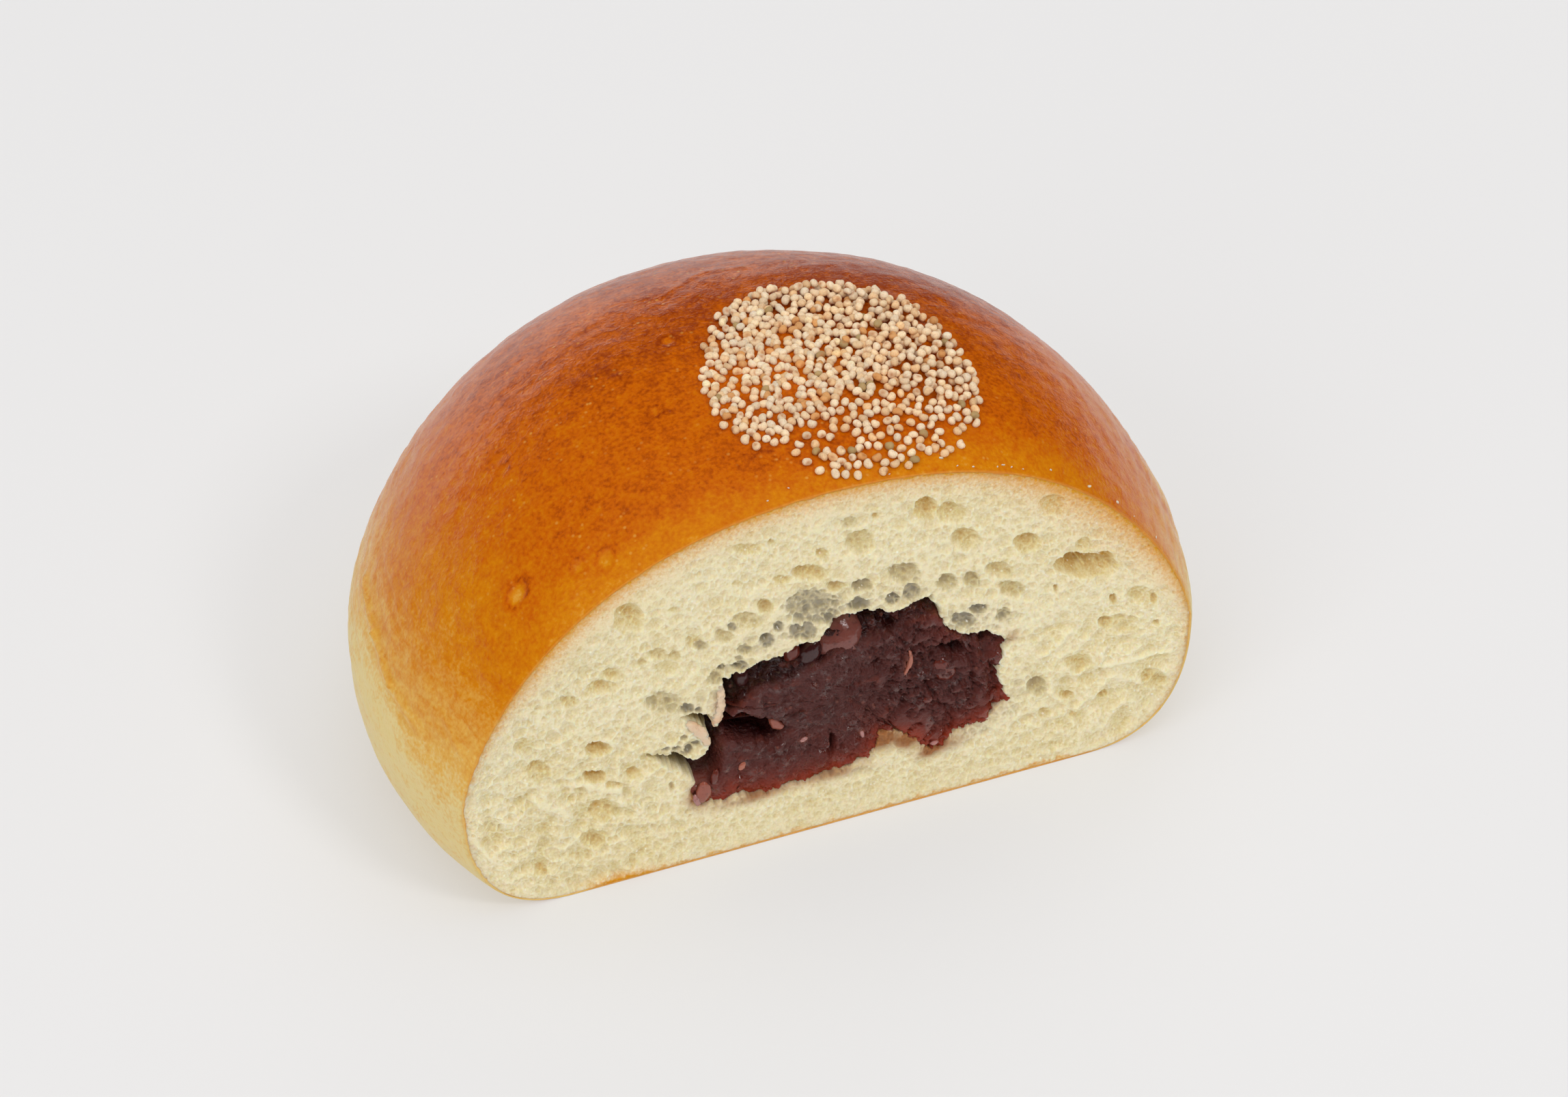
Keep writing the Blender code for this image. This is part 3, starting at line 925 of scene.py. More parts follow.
@dataclass(frozen=True)
class CrumbFinish:
    """Soft crumb: cream ridges, yellow hollows darkened by painted shade, tanned next to the crust,
    and grey where paste wetted it.

    Paste has stained the crumb next to it and soiled the torn walls inside the pocket. The painted glint
    is the colour of painted highlights on the smallest threads, and shallow is the place of the inner
    colour on the hollows' ramp of painted shade.
    """

    ridge: Colour = linear(246, 234, 198)
    inner: Colour = linear(228, 211, 158)
    # Colour of the bottoms of cells and pores and of the wall into the pocket: painted shade.
    hollow: Colour = linear(204, 158, 78)
    tan: Colour = linear(224, 150, 14)
    damp: Colour = linear(166, 154, 126)
    stain: Colour = linear(156, 104, 62)
    soiled: Colour = linear(64, 12, 9)
    painted_glint: Colour = linear(254, 249, 230)
    shallow: float = 0.42

    def made(self) -> bpy.types.Material:
        """The crumb's material. The vertices hold hollow, tan, damp, stain and soiled as shares."""
        paint = Paint("crumb")
        fine = paint.noise(0.5, 4.0) - 0.5
        threads = paint.noise(0.16, 3.0, stretch=(1.0, 1.0, 5.0), shift=2.0) - 0.5
        cloud = paint.noise(6.0, 2.0, shift=4.0) - 0.5
        grain = paint.noise(0.26, 2.0, shift=6.0) - 0.5
        # The hollow share is painted shade: a darker yellow in cell and pore bottoms, lighter on ridges and
        # threads.
        hollow = paint.attribute("hollow") + fine * 0.35 + grain * 0.7 + cloud * 0.30
        stops = [(0.0, self.ridge), (self.shallow, self.inner), (1.0, self.hollow)]
        colour = paint.ramp(hollow.clamped(), stops)
        drifts = paint.noise(2.5, 1.0, shift=8.0).step(0.45, 0.65)
        # Painted glints: small near-white specks that stand for tiny highlights on crumb threads.
        painted_glint = paint.spots(0.75, shift=2.0).step(0.24, 0.08) * drifts
        colour = paint.mix(painted_glint * 0.75, colour, self.painted_glint)
        tan = paint.attribute("tan")
        tan = tan + (fine * 0.7 + grain * 0.5) * tan.step(0.02, 0.3)
        colour = paint.mix(tan.clamped(), colour, self.tan)
        damp = paint.attribute("damp")
        # Wet grey is stronger where the painted shade is, so wet bubble bottoms read darker.
        soaked = damp * (paint.attribute("hollow") * 1.9 + 0.16 + fine * 1.2)
        colour = paint.mix(soaked.clamped(), colour, self.damp)
        colour = paint.mix(paint.attribute("stain").clamped(), colour, self.stain)
        soiled = paint.attribute("soiled")
        colour = paint.mix(soiled, colour, self.soiled)
        return paint.drive(
            Base_Color=colour,
            Roughness=(0.85 - damp * 0.55).clamped(),
            Normal=paint.bump(fine * 0.6 + grain * 0.6 + threads * 0.2, 0.12, 0.7),
            Coat_Weight=(damp * 0.9 - soiled).clamped(),
            Coat_Roughness=0.07,
            Subsurface_Weight=0.9,
            Subsurface_Radius=(1.0, 0.8, 0.45),
            Subsurface_Scale=1.0 * MM,
            Specular_IOR_Level=0.4,
        )


@dataclass
class Pocket:
    """The torn hollow round the paste, seen on the cut.

    Attributes:
        edge: Corners of its torn edge as x and height, from the left end along the lower lip and back over
            the top, round the spur of bread that hangs into its left end.
        ragged: Noise that frays the edge.
    """

    edge: tuple[tuple[float, float], ...] = (
        (-21.6, 17.1), (-19.4, 14.9), (-17.4, 13.2), (-16.5, 11.8), (-17, 10), (-15.8, 8), (-12.8, 7.6),
        (-11.8, 8), (-9.8, 7.2), (-5.8, 7.2), (-1.8, 7), (1.2, 7.7), (4.2, 8.4), (5.2, 9.2), (5.5, 11.5),
        (6.8, 11.5), (8.2, 10.9), (9.8, 9.5), (11.4, 7.2), (12.6, 6.9), (15.2, 8.6), (18.8, 9.4),
        (21.1, 11.7), (20.2, 15), (19.9, 17.5), (20.8, 19.3), (21.4, 20.3), (20.2, 21.2), (18.4, 22.9),
        (16.2, 22.8), (14.2, 24.2), (13.3, 25.3), (12.8, 27.5), (11.8, 30.1), (10.2, 29.9), (7.2, 29.2),
        (4.2, 30.5), (1.2, 30.5), (-0.8, 29.2), (-1.4, 27.8), (-3.8, 28.1), (-5.8, 27.2), (-9.2, 26.8),
        (-10.2, 25.9), (-12.7, 26), (-13.2, 21.5), (-13.8, 19.2), (-14.4, 21.1), (-16, 21.9), (-17.9, 22.1),
        (-16.5, 20.5), (-15.4, 19.5), (-14.7, 18.4), (-14.5, 17.2), (-15.3, 15.6), (-16.6, 15.1),
        (-18.4, 16.5), (-19.8, 16.9),
    )
    ragged: Swell = Swell(41, 1.1, 0.30, 3, keep=0.6)

    def gap(self, x: np.ndarray, z: np.ndarray) -> np.ndarray:
        """Signed distance to the torn edge, below zero inside the hollow: the least distance to its segments,
        with the sign from how often a level ray crosses them. A noise of place frays the edge.

        Args:
            x: Places along the cut.
            z: Heights.

        Returns:
            Distances in millimetres.
        """
        corners = np.array(self.edge)
        least = np.full(x.shape, 1e9)
        inside = np.zeros(x.shape, bool)
        for start, end in zip(corners, np.roll(corners, -1, axis=0)):
            least = np.minimum(least, line_gap(x, z, start, end))
            (ax, az), (dx, dz) = start, end - start
            crosses = (az > z) != (end[1] > z)
            inside ^= crosses & (x < ax + (z - az) * dx / (dz if dz else 1e-9))
        return np.where(inside, -least, least) + self.ragged.at(on_cut(x, z))


@dataclass
class Opened:
    """What gas cells do at points of the cut: depths of the foam and of large pores, places in both from 0
    outside to 1 at their bottoms, which set the painted shade, and how wet the large pores are.
    """

    foam: np.ndarray
    cell: np.ndarray
    pore: np.ndarray
    bottom: np.ndarray
    wet: np.ndarray


@dataclass
class Crumb:
    """The cut face of the bread: a fine sheet of opened gas cells, drawn back deep inside the torn pocket.

    Lengths are in millimetres. The sheet ends a margin within the crust's outline. A fine cell's reach, the
    spread between two of them and the widening of the large pores are shares of their sizes.
    """

    form: Form
    pocket: Pocket
    columns: int = 720
    rows: int = 330
    margin: float = 0.16
    wall: float = 8.5
    kept_inside: float = 1.6
    widen: float = 1.15
    foam_share: float = 0.50
    cells: int = 16000
    cell_size: float = 0.24
    cell_limit: float = 1.15
    cell_power: float = 2.7
    cell_reach: float = 1.35
    spread: float = 0.74
    size_drift: Swell = Swell(35, 7.0, 0.2)
    uneven: Swell = Swell(37, 1.8, 0.10, 2)
    clouds: Swell = Swell(67, 4.6, 1.0, 2)
    fuzz: Swell = Swell(51, 0.36, 0.10, 2, keep=0.7)
    fibres: Swell = Swell(55, 1.25, 1.0, 2)
    swell: Swell = Swell(61, 9.0, 0.22, 2)
    beading: Swell = Swell(57, 0.8, 0.5, 2)
    fray: Swell = Swell(71, 0.9, 0.6, 3)
    sole_fray: Swell = Swell(73, 1.5, 0.45, 3)
    pores: tuple[Pore, ...] = listed(
        Pore,
        (11, 43, 1.79, 1.2, -71, 1), (13.9, 41.5, 1.84, 1.23, -36, 0.7), (23, 34.4, 1.75, 1.18, -38, 1),
        (15.6, 37.2, 1.96, 1.25, -33, 0.8), (30.3, 28.6, 3.7, 1.57, -23, 1.5),
        (32.4, 28.1, 1.83, 1.23, -67, 1.5), (8.5, 34.6, 1.79, 1.19, -36, 0.7, 0.35),
        (3.4, 34.4, 1.23, 0.78, -32, 1.3, 0.5), (19.7, 31.5, 1.83, 0.99, -27, 0.8, 0.1),
        (21.4, 28.1, 1.65, 0.98, -30, 0.8, 0.15), (13.6, 31.6, 1.37, 0.99, -54, 0.7, 0.35),
        (16.6, 30.8, 1.16, 0.8, -66, 0.7, 0.3), (25.9, 38.9, 1.85, 1.27, -40, 0.6),
        (29.8, 31.9, 1.19, 0.84, -50, 0.6), (33.7, 22.5, 0.81, 0.41, -81, 1.4),
        (26.6, 26.4, 0.75, 0.25, -86, 1.2), (37, 22.1, 1.93, 1.17, -32, 0.5),
        (38.6, 21.1, 0.79, 0.43, -78, 1.1), (33.1, 19, 1.16, 0.78, -41, 1.3),
        (34.9, 18.3, 2.6, 1.33, -26, 0.35), (39.2, 17.2, 0.57, 0.3, -79, 1),
        (39.2, 8.5, 1.73, 1.15, -42, 0.6), (30, 13.9, 1.92, 1.13, -31, 0.4),
        (33, 7.9, 0.84, 0.55, -39, 0.8), (28.5, 9.5, 0.98, 0.52, -27, 0.7),
        (24.6, 12.2, 1.45, 1.02, -55, 0.8, 0.35), (25.7, 7.8, 1, 0.67, -66, 0.6),
        (29.3, 6.4, 0.55, 0.38, -51, 0.7), (3.2, 31.6, 1.24, 0.81, -34, 0.8, 1),
        (-2.2, 33.1, 3.23, 2, -31, 0.3, 0.75), (7, 31.3, 0.95, 0.6, -33, 0.8, 0.8),
        (9.3, 31.6, 1.29, 0.9, -67, 0.7, 0.7), (17.3, 26.5, 1.07, 0.62, -29, 1, 0.8),
        (15.6, 25.3, 1.4, 0.91, -35, 0.8, 0.8), (20.4, 24.6, 1.13, 0.77, -41, 0.6, 0.5),
        (0.4, 35.3, 1.2, 0.67, -27, 0.9, 0.1), (-1.2, 40.6, 0.83, 0.58, -40, 0.9),
        (5, 43.9, 0.43, 0.31, -60, 1.1), (2.1, 43.9, 1.02, 0.73, -44, 0.6, 0.2),
        (3.3, 40.6, 1.91, 1.39, -49, 0.7, 0.1), (-23.4, 38.4, 2.23, 1.53, -75, 0.7),
        (-9.8, 44, 1.7, 0.73, -22, 0.5), (-5.9, 38.3, 0.9, 0.51, -27, 0.8),
        (-2.6, 38.2, 2.03, 1.04, -25, 0.8), (-7.8, 35, 1.06, 0.78, -58, 0.9, 0.1),
        (-9.9, 33.8, 1.75, 0.98, -27, 0.6, 0.2), (-11.7, 33.4, 0.64, 0.46, -65, 1, 0.7),
        (-7.8, 30.3, 1.05, 0.75, -64, 0.9, 1), (-6.4, 31.8, 0.75, 0.54, -65, 0.9, 0.9),
        (-4.3, 30.3, 1.03, 0.72, -69, 0.9, 1), (-2.8, 29.8, 1.25, 0.81, -75, 0.6, 1),
        (-0.3, 30.7, 0.9, 0.66, -56, 0.8, 1), (-10.3, 29.7, 0.92, 0.58, -31, 0.8, 0.5),
        (-12.6, 32.3, 1.21, 0.78, -33, 0.6, 0.2), (-15.2, 31.7, 0.76, 0.53, -39, 0.9, 0.4),
        (-16.1, 32.7, 1.1, 0.77, -39, 0.5), (-10.8, 27.2, 0.93, 0.61, -34, 0.7, 0.9),
        (-13, 27.8, 0.58, 0.43, -50, 1.4, 0.8), (-20.1, 32.2, 1.05, 0.69, -34, 0.7, 0.1),
        (-18.4, 31.4, 0.8, 0.59, -52, 0.7, 0.1), (-22.1, 31.7, 0.66, 0.47, -71, 0.8, 0.1),
        (-19.2, 30, 1.47, 0.91, -31, 0.4), (-25.5, 31, 1.44, 0.8, -27, 0.6),
        (-18.2, 38.1, 0.72, 0.39, -26, 0.7), (-10.9, 39.3, 0.73, 0.39, -26, 0.6),
        (-7, 44.1, 0.45, 0.33, -49, 0.8), (-26.7, 29.5, 1.71, 0.87, -25, 0.7),
        (-30.4, 28.7, 1.05, 0.76, -44, 0.5), (-27.5, 20.8, 1.49, 0.98, -34, 1.4),
        (-27.9, 16.6, 1.34, 0.82, -31, 1.5), (-35.9, 24, 1.32, 0.99, -61, 0.4),
        (-28.3, 7.2, 1.97, 1.21, -32, 0.6), (-27.4, 11.2, 1.73, 1.26, -63, 0.35),
        (-19.6, 24.9, 2.06, 1.29, -32, 0.4, 0.35), (-17, 23.2, 0.85, 0.62, -54, 0.9, 0.9),
        (-15.8, 22.5, 0.52, 0.38, -60, 0.9, 0.7), (-25.8, 14.6, 1.18, 0.42, -22, 0.6),
        (-34.4, 19.7, 1.6, 1.19, -55, 0.4), (-13.8, 26.4, 0.93, 0.61, -34, 0.6, 0.4),
        (-23.4, 15.3, 0.95, 0.67, -41, 0.6), (-34.7, 4.7, 0.81, 0.59, -52, 0.5),
        (-19.2, 12.1, 0.7, 0.29, -88, 0.9, 0.2), (-11, 28.6, 0.48, 0.35, -45, 1, 0.5),
        (-18.5, 17.6, 0.5, 0.42, 0, 0.8, 0.9), (-17.2, 16.7, 0.62, 0.5, 20, 0.8, 0.9),
        (-19.7, 18, 0.45, 0.36, 0, 0.8, 0.8), (-16.1, 17.4, 0.42, 0.38, 0, 0.7, 0.8),
        (-17.6, 19, 0.4, 0.34, 0, 0.6, 0.5),
    )
    ridges: tuple[Ridge, ...] = listed(
        Ridge,
        ((-35.2, 15.8), (-31.3, 11.9), 0.45, 0.45), ((-30.5, 16.4), (-25.4, 13.8), 0.5, 0.5),
        ((-25.4, 13.8), (-25, 11.4), 0.4, 0.35), ((-39.7, 15.2), (-38.2, 12.4), 0.5, 0.4),
        ((-42.4, 12.4), (-40.2, 8.4), 0.35, 0.3), ((-27.7, 21.8), (-26.2, 21.6), 0.3, 0.5),
        ((-34.1, 27.3), (-33.8, 28.3), 0.25, 0.35), ((33, 12.7), (41, 12.3), 0.35, 0.45),
        ((28.9, 30), (30.6, 27.6), 0.14, 0.3),
    )
    damp_patches: tuple[Patch, ...] = listed(
        Patch,
        (-2.4, 31.8, 3.6, 2.4, 1), (-7.8, 29.8, 3.2, 1.8, 0.9), (-12.4, 27.4, 1.8, 1, 0.7),
        (3.6, 31.8, 2.6, 1.6, 0.9), (8.7, 31.4, 3, 1.5, 0.8), (16, 25.2, 2.8, 1.9, 1.8),
        (20, 24, 1.8, 1.1, 1), (-16.2, 23.2, 2.6, 1.2, 0.9), (-20.2, 24.6, 2.6, 1.6, 0.4),
        (-17.9, 17.2, 2.2, 1.3, 1.1), (14, 6.9, 1.8, 0.8, 1), (17.6, 8.2, 1.8, 0.9, 1.1),
        (20.8, 9.9, 1.4, 1.3, 1), (22.4, 13, 1.5, 1.5, 0.7), (2, 6.8, 4, 0.7, 0.4), (9, 35.4, 9, 2, 0.2),
    )
    stain_patches: tuple[Patch, ...] = listed(
        Patch,
        (-16.4, 9.4, 1.2, 1.4, 0.9), (-13.6, 22.4, 0.6, 1.8, 0.7), (21.4, 21, 0.8, 0.9, 0.6),
        (-10, 7, 4, 0.6, 0.6), (1, 7.2, 3.5, 0.6, 0.5), (6, 10.6, 1.4, 1.3, 1.3), (8.6, 9.4, 1.7, 1.2, 1.2),
        (11.4, 6.9, 1.6, 0.9, 0.9), (14.6, 7.3, 2.2, 0.8, 0.5),
    )
    finish: CrumbFinish = field(default_factory=CrumbFinish)

    def outline(self) -> tuple[np.ndarray, np.ndarray, np.ndarray]:
        """Columns of the sheet: their places along the cut, and the lowest and highest point of each.

        Returns:
            Places along the cut, low ends and high ends, all a margin within the crust's own outline.
        """
        u = np.linspace(-1.0, 1.0, self.columns)
        cut_share = math.sqrt(1.0 - (self.form.middle / self.form.radius_y) ** 2)
        half = self.form.radius_x * cut_share - self.margin
        x = half * (0.72 * u + 0.28 * np.sin(u * math.pi / 2))
        stretched = x * (half + self.margin) / half
        share = self.form.share(stretched, 0.0)
        low = self.form.under(share) + self.margin * 0.55
        high = self.form.dome(share) - self.margin
        middle = (low + high) / 2.0
        return x, np.minimum(low, middle), np.maximum(high, middle)

    def bare_grid(self) -> np.ndarray:
        """Points of the flat sheet: upright columns, each shared out evenly between its two ends."""
        x, low, high = self.outline()
        v = np.linspace(0.0, 1.0, self.rows)[:, None]
        return on_cut(x, low + v * (high - low))

    def rim_gap(self, x: np.ndarray, z: np.ndarray) -> np.ndarray:
        """Distance to the crust's outline along rays from the widest height's middle."""
        turn = np.arctan2(z - self.form.widest, x)
        fine = np.linspace(-math.pi, math.pi, 1441)
        reach = np.interp(turn, fine, self.form.reach(fine, np.zeros_like(fine)))
        return reach - np.hypot(x, z - self.form.widest)

    def small_cells(self, flat: np.ndarray) -> np.ndarray:
        """The many small gas cells: sizes follow a power law and shrink next to the crust, and from the
        largest down each is kept where it hardly overlaps those already kept.

        Args:
            flat: Points of the flat sheet.

        Returns:
            For each cell its x, z, half width, half height, tilt in radians and depth over its size.
        """
        draw = np.random.default_rng(8)
        rows = draw.integers(0, self.rows, self.cells)
        columns = draw.integers(0, self.columns, self.cells)
        spots = flat[rows, columns]
        x = spots[:, 0] + draw.uniform(-0.06, 0.06, self.cells)
        z = spots[:, 2] + draw.uniform(-0.07, 0.07, self.cells)
        gap = self.rim_gap(x, z)
        size = self.cell_size * (1.0 - 0.985 * draw.random(self.cells)) ** (-1.0 / self.cell_power)
        room = 0.60 + 0.40 * smooth(0.5, 5.0, gap)
        size = np.minimum(size, self.cell_limit) * room * (1.0 + self.size_drift.at(spots))
        order = np.argsort(-size)
        kept = np.zeros(self.cells, bool)
        for k in order:
            away = np.hypot(x[kept] - x[k], z[kept] - z[k])
            kept[k] = not (away < self.spread * (size[kept] + size[k])).any()
        count = int(kept.sum())
        flatness = draw.uniform(0.62, 0.95, count)
        tilt = np.radians(draw.normal(-24.0, 16.0, count))
        sink = draw.uniform(0.35, 0.95, count) * (0.6 + 0.4 * smooth(1.0, 5.0, gap[kept]))
        width = size[kept] * 1.08
        return np.stack([x[kept], z[kept], width, width * flatness, tilt, sink], axis=1)

    def foam(self, flat: np.ndarray) -> tuple[np.ndarray, np.ndarray]:
        """Depth of the fine foam. Each point looks up the two cells in which it lies deepest: the nearer one
        gives a bowl of 1 less the square of the place, and where the two tie a thin wall stays up.

        Args:
            flat: Points of the flat sheet.

        Returns:
            Depths in millimetres, and shares of painted shade from 0 on a wall to 1 at the bottom of a cell.
        """
        x, z = flat[..., 0], flat[..., 2]
        nearest = np.full(x.shape, self.cell_reach)
        second = nearest.copy()
        bowl = np.zeros(x.shape)
        for cx, cz, width, height, tilt, sink in self.small_cells(flat):
            reach = 1.3 * width
            first, last = np.searchsorted(x[0], [cx - reach, cx + reach])
            column = min((first + last) // 2, self.columns - 1)
            low, high = np.searchsorted(z[:, column], [cz - reach - 0.4, cz + reach + 0.4])
            window = (slice(low, high), slice(first, last))
            along, across = turned(x[window] - cx, z[window] - cz, tilt)
            place = np.hypot(along / width, across / height)
            wins = place < nearest[window]
            second[window] = np.where(wins, nearest[window], np.minimum(second[window], place))
            nearest[window] = np.where(wins, place, nearest[window])
            bowl[window] = np.where(wins, width * sink, bowl[window])
        wall = smooth(0.0, 0.32, second - nearest)
        inner = wall * np.clip(1.0 - (nearest / self.cell_reach) ** 2, 0.0, 1.0)
        return bowl * inner, inner * np.clip(bowl / 0.22, 0.35, 1.3)

    def opened(self, flat: np.ndarray) -> tuple[np.ndarray, np.ndarray, np.ndarray]:
        """Depth of the large pores: oval bowls with an uneven outline, deepest and steepest at their tops.

        Args:
            flat: Points of the flat sheet.

        Returns:
            Depths in millimetres, shares of painted shade from 0 outside to 1 at the bottoms, and how wet the
            pores are.
        """
        x, z = flat[..., 0], flat[..., 2]
        depth = np.zeros(x.shape)
        inner = np.zeros(x.shape)
        wet = np.zeros(x.shape)
        uneven = self.uneven.at(flat)
        for pore in self.pores:
            dz = z - pore.z
            along, across = turned(x - pore.x, dz, math.radians(pore.tilt))
            place = np.hypot(along / (self.widen * pore.width), across / (self.widen * pore.height)) + uneven
            share = np.clip(1.0 - place**2, 0.0, 1.0)
            mean = (pore.width + pore.height) / 2.0
            high = np.clip(dz / (self.widen * mean), -1.0, 1.0)
            rim = -0.04 * np.exp(-((place - 1.12) ** 2) / 0.02)
            bowl = mean * pore.sink * (0.70 + 0.30 * high) * share ** (0.85 - 0.35 * high)
            depth = np.maximum(depth, bowl) + rim
            # Painted shade of the pore: full at its bottom and darkest towards its top.
            shade = share**0.6 * min(1.25, 0.35 + 0.6 * pore.sink) * (0.72 + 0.28 * high)
            inner = np.maximum(inner, shade)
            wet = np.maximum(wet, pore.wet * smooth(1.35, 0.8, place))
        return depth, inner, wet

    def relief(
        self, flat: np.ndarray, rim: np.ndarray, damp: np.ndarray, cells: Opened
    ) -> tuple[np.ndarray, np.ndarray]:
        """Relief of the cut: foam, pores, threads, fuzz, a broad swell and soft dents at both sides, less the
        ridges, fading out at the skin. Its hollow share, a weighted sum of the same parts, is painted shade:
        darker in the bottoms of cells, pores and dents, lighter on ridges and threads.

        Args:
            flat: Points of the flat sheet.
            rim: Their distances to the skin.
            damp: How wet the crumb is there.
            cells: What the gas cells do there.

        Returns:
            Depths in millimetres, and the share of painted shade at each point, from 0 on ridges to 1 in a
            hollow.
        """
        x, z = flat[..., 0], flat[..., 2]
        bottom = cells.bottom
        keep = smooth(0.0, 0.9, rim)
        right_side = smooth(20.0, 28.0, x) * smooth(26.0, 18.0, z)
        left_side = smooth(-18.0, -24.0, x) * smooth(26.0, 16.0, z)
        cloud = np.abs(self.clouds.at(flat)) * (right_side + left_side) * smooth(0.4, 2.6, rim)
        fibre = (1.0 - np.abs(self.fibres.at(flat * np.array([1.0, 1.0, 0.7])))) ** 6
        swell = 0.06 + self.swell.at(flat)
        calm = 1.0 - 0.35 * smooth(20.0, 30.0, x) * smooth(28.0, 20.0, z) - 0.2 * smooth(8.0, 4.0, z)
        shallower = 1.0 - 0.85 * bottom * (1.0 - cells.wet)
        fine = self.foam_share * cells.foam * calm * shallower * (1.0 + 1.1 * damp)
        fine = fine - 0.13 * fibre * (1.0 - bottom)
        raised = sum(ridge.at(x, z) for ridge in self.ridges) * (1.0 + self.beading.at(flat))
        depth = (fine + cells.pore + self.fuzz.at(flat) * (1.0 - 0.6 * damp) + swell - raised) * keep
        depth = np.maximum(depth + 0.9 * cloud * keep + 0.10, 0.05) + 0.15 * smooth(0.30, 0.12, rim)
        # Painted shade: more in cell and pore bottoms and soft dents, less on threads and ridges.
        hollow = 0.17 * cells.cell + 0.85 * bottom + 0.32 * cloud - 0.12 * fibre - 0.7 * raised
        # More painted shade towards the bottom of the cut, and less at the lower right.
        hollow = hollow + 0.10 * smooth(8.0, 3.0, z)
        pale = 0.07 * smooth(18.0, 26.0, x) * smooth(30.0, 24.0, z)
        return depth, np.clip(hollow + 0.05 - pale, 0.0, 1.0) * keep

    def tanned(self, flat: np.ndarray, rim: np.ndarray) -> np.ndarray:
        """How tan the crumb is: it fades with the distance to the skin over a width that is greatest at the
        upper right, with a narrow frayed fringe, a thin brown line over the sole and one flake of it.
        """
        x, z = flat[..., 0], flat[..., 2]
        fray = self.fray.at(flat)
        browner = 0.35 + 0.65 * smooth(6.0, 26.0, z + 0.30 * np.maximum(x, 0.0))
        width = 0.55 + 0.95 * smooth(20.0, 36.0, z) + 1.1 * smooth(14.0, 30.0, x) * smooth(12.0, 30.0, z)
        tan = np.exp(-((np.maximum(rim + fray * 0.5, 0.0) / width) ** 1.2)) * browner
        fringe = 0.42 * np.exp(-((np.maximum(rim - 0.15 + 0.4 * fray, 0.0) / 0.32) ** 2))
        line = 0.60 * smooth(0.62, 0.22, z + self.sole_fray.at(flat))
        line = line * smooth(-30.0, -28.6, x) * smooth(33.0, 31.0, x)
        flake = 0.60 * bell((x + 24.6) / 4.4, (z - 0.4) / 0.75)
        return np.maximum.reduce([tan, fringe, np.clip(line + flake, 0.0, 1.0)])

    def stained(self, x: np.ndarray, z: np.ndarray, gap: np.ndarray) -> np.ndarray:
        """How far paste has stained the crumb: in patches near the torn edge, and along its lower part."""
        near = np.abs(gap)
        stain = np.clip(sum(patch.at(x, z) for patch in self.stain_patches), 0.0, 1.0)
        return stain * smooth(3.4, 0.8, near) + 0.45 * np.exp(-near / 0.45) * smooth(14.0, 11.0, z)

    def build(self) -> bpy.types.Object:
        """Makes the sheet, drawn back at the pocket's edge and left open behind it."""
        flat = self.bare_grid()
        x, z = flat[..., 0], flat[..., 2]
        rim = self.rim_gap(x, z)
        gap = self.pocket.gap(x, z)
        cells = Opened(*self.foam(flat), *self.opened(flat))
        wetted = np.clip(sum(patch.at(x, z) for patch in self.damp_patches), 0.0, 1.0)
        damp = np.clip(np.maximum(0.55 * wetted, cells.wet) + 0.25 * wetted * cells.wet, 0.0, 1.0)
        depth, hollow = self.relief(flat, rim, damp, cells)
        points = flat.copy()
        points[..., 1] = depth + 0.25 * np.exp(-np.maximum(gap, 0.0) / 0.4)
        points[..., 1] += self.wall * smooth(0.0, 0.9, -gap) ** 0.7
        shares = {
            # The wall that goes into the pocket gets painted shade too.
            "hollow": hollow + 0.5 * smooth(0.0, 0.5, -gap),
            "tan": self.tanned(flat, rim),
            "damp": damp,
            "stain": self.stained(x, z, gap),
            "soiled": smooth(-0.05, -0.45, gap),
        }
        faces = grid_quads(self.rows, self.columns, closed=False)
        faces = faces[gap.reshape(-1)[faces].max(axis=1) > -self.kept_inside]
        used, faces = np.unique(faces, return_inverse=True)
        values = {name: share.reshape(-1)[used] for name, share in shares.items()}
        placed = self.form.placed(points).reshape(-1, 3)[used]
        piece = make_piece("crumb", placed, faces.reshape(-1, 4), self.finish.made(), values)
        return belongs(piece, BUN_NODE)


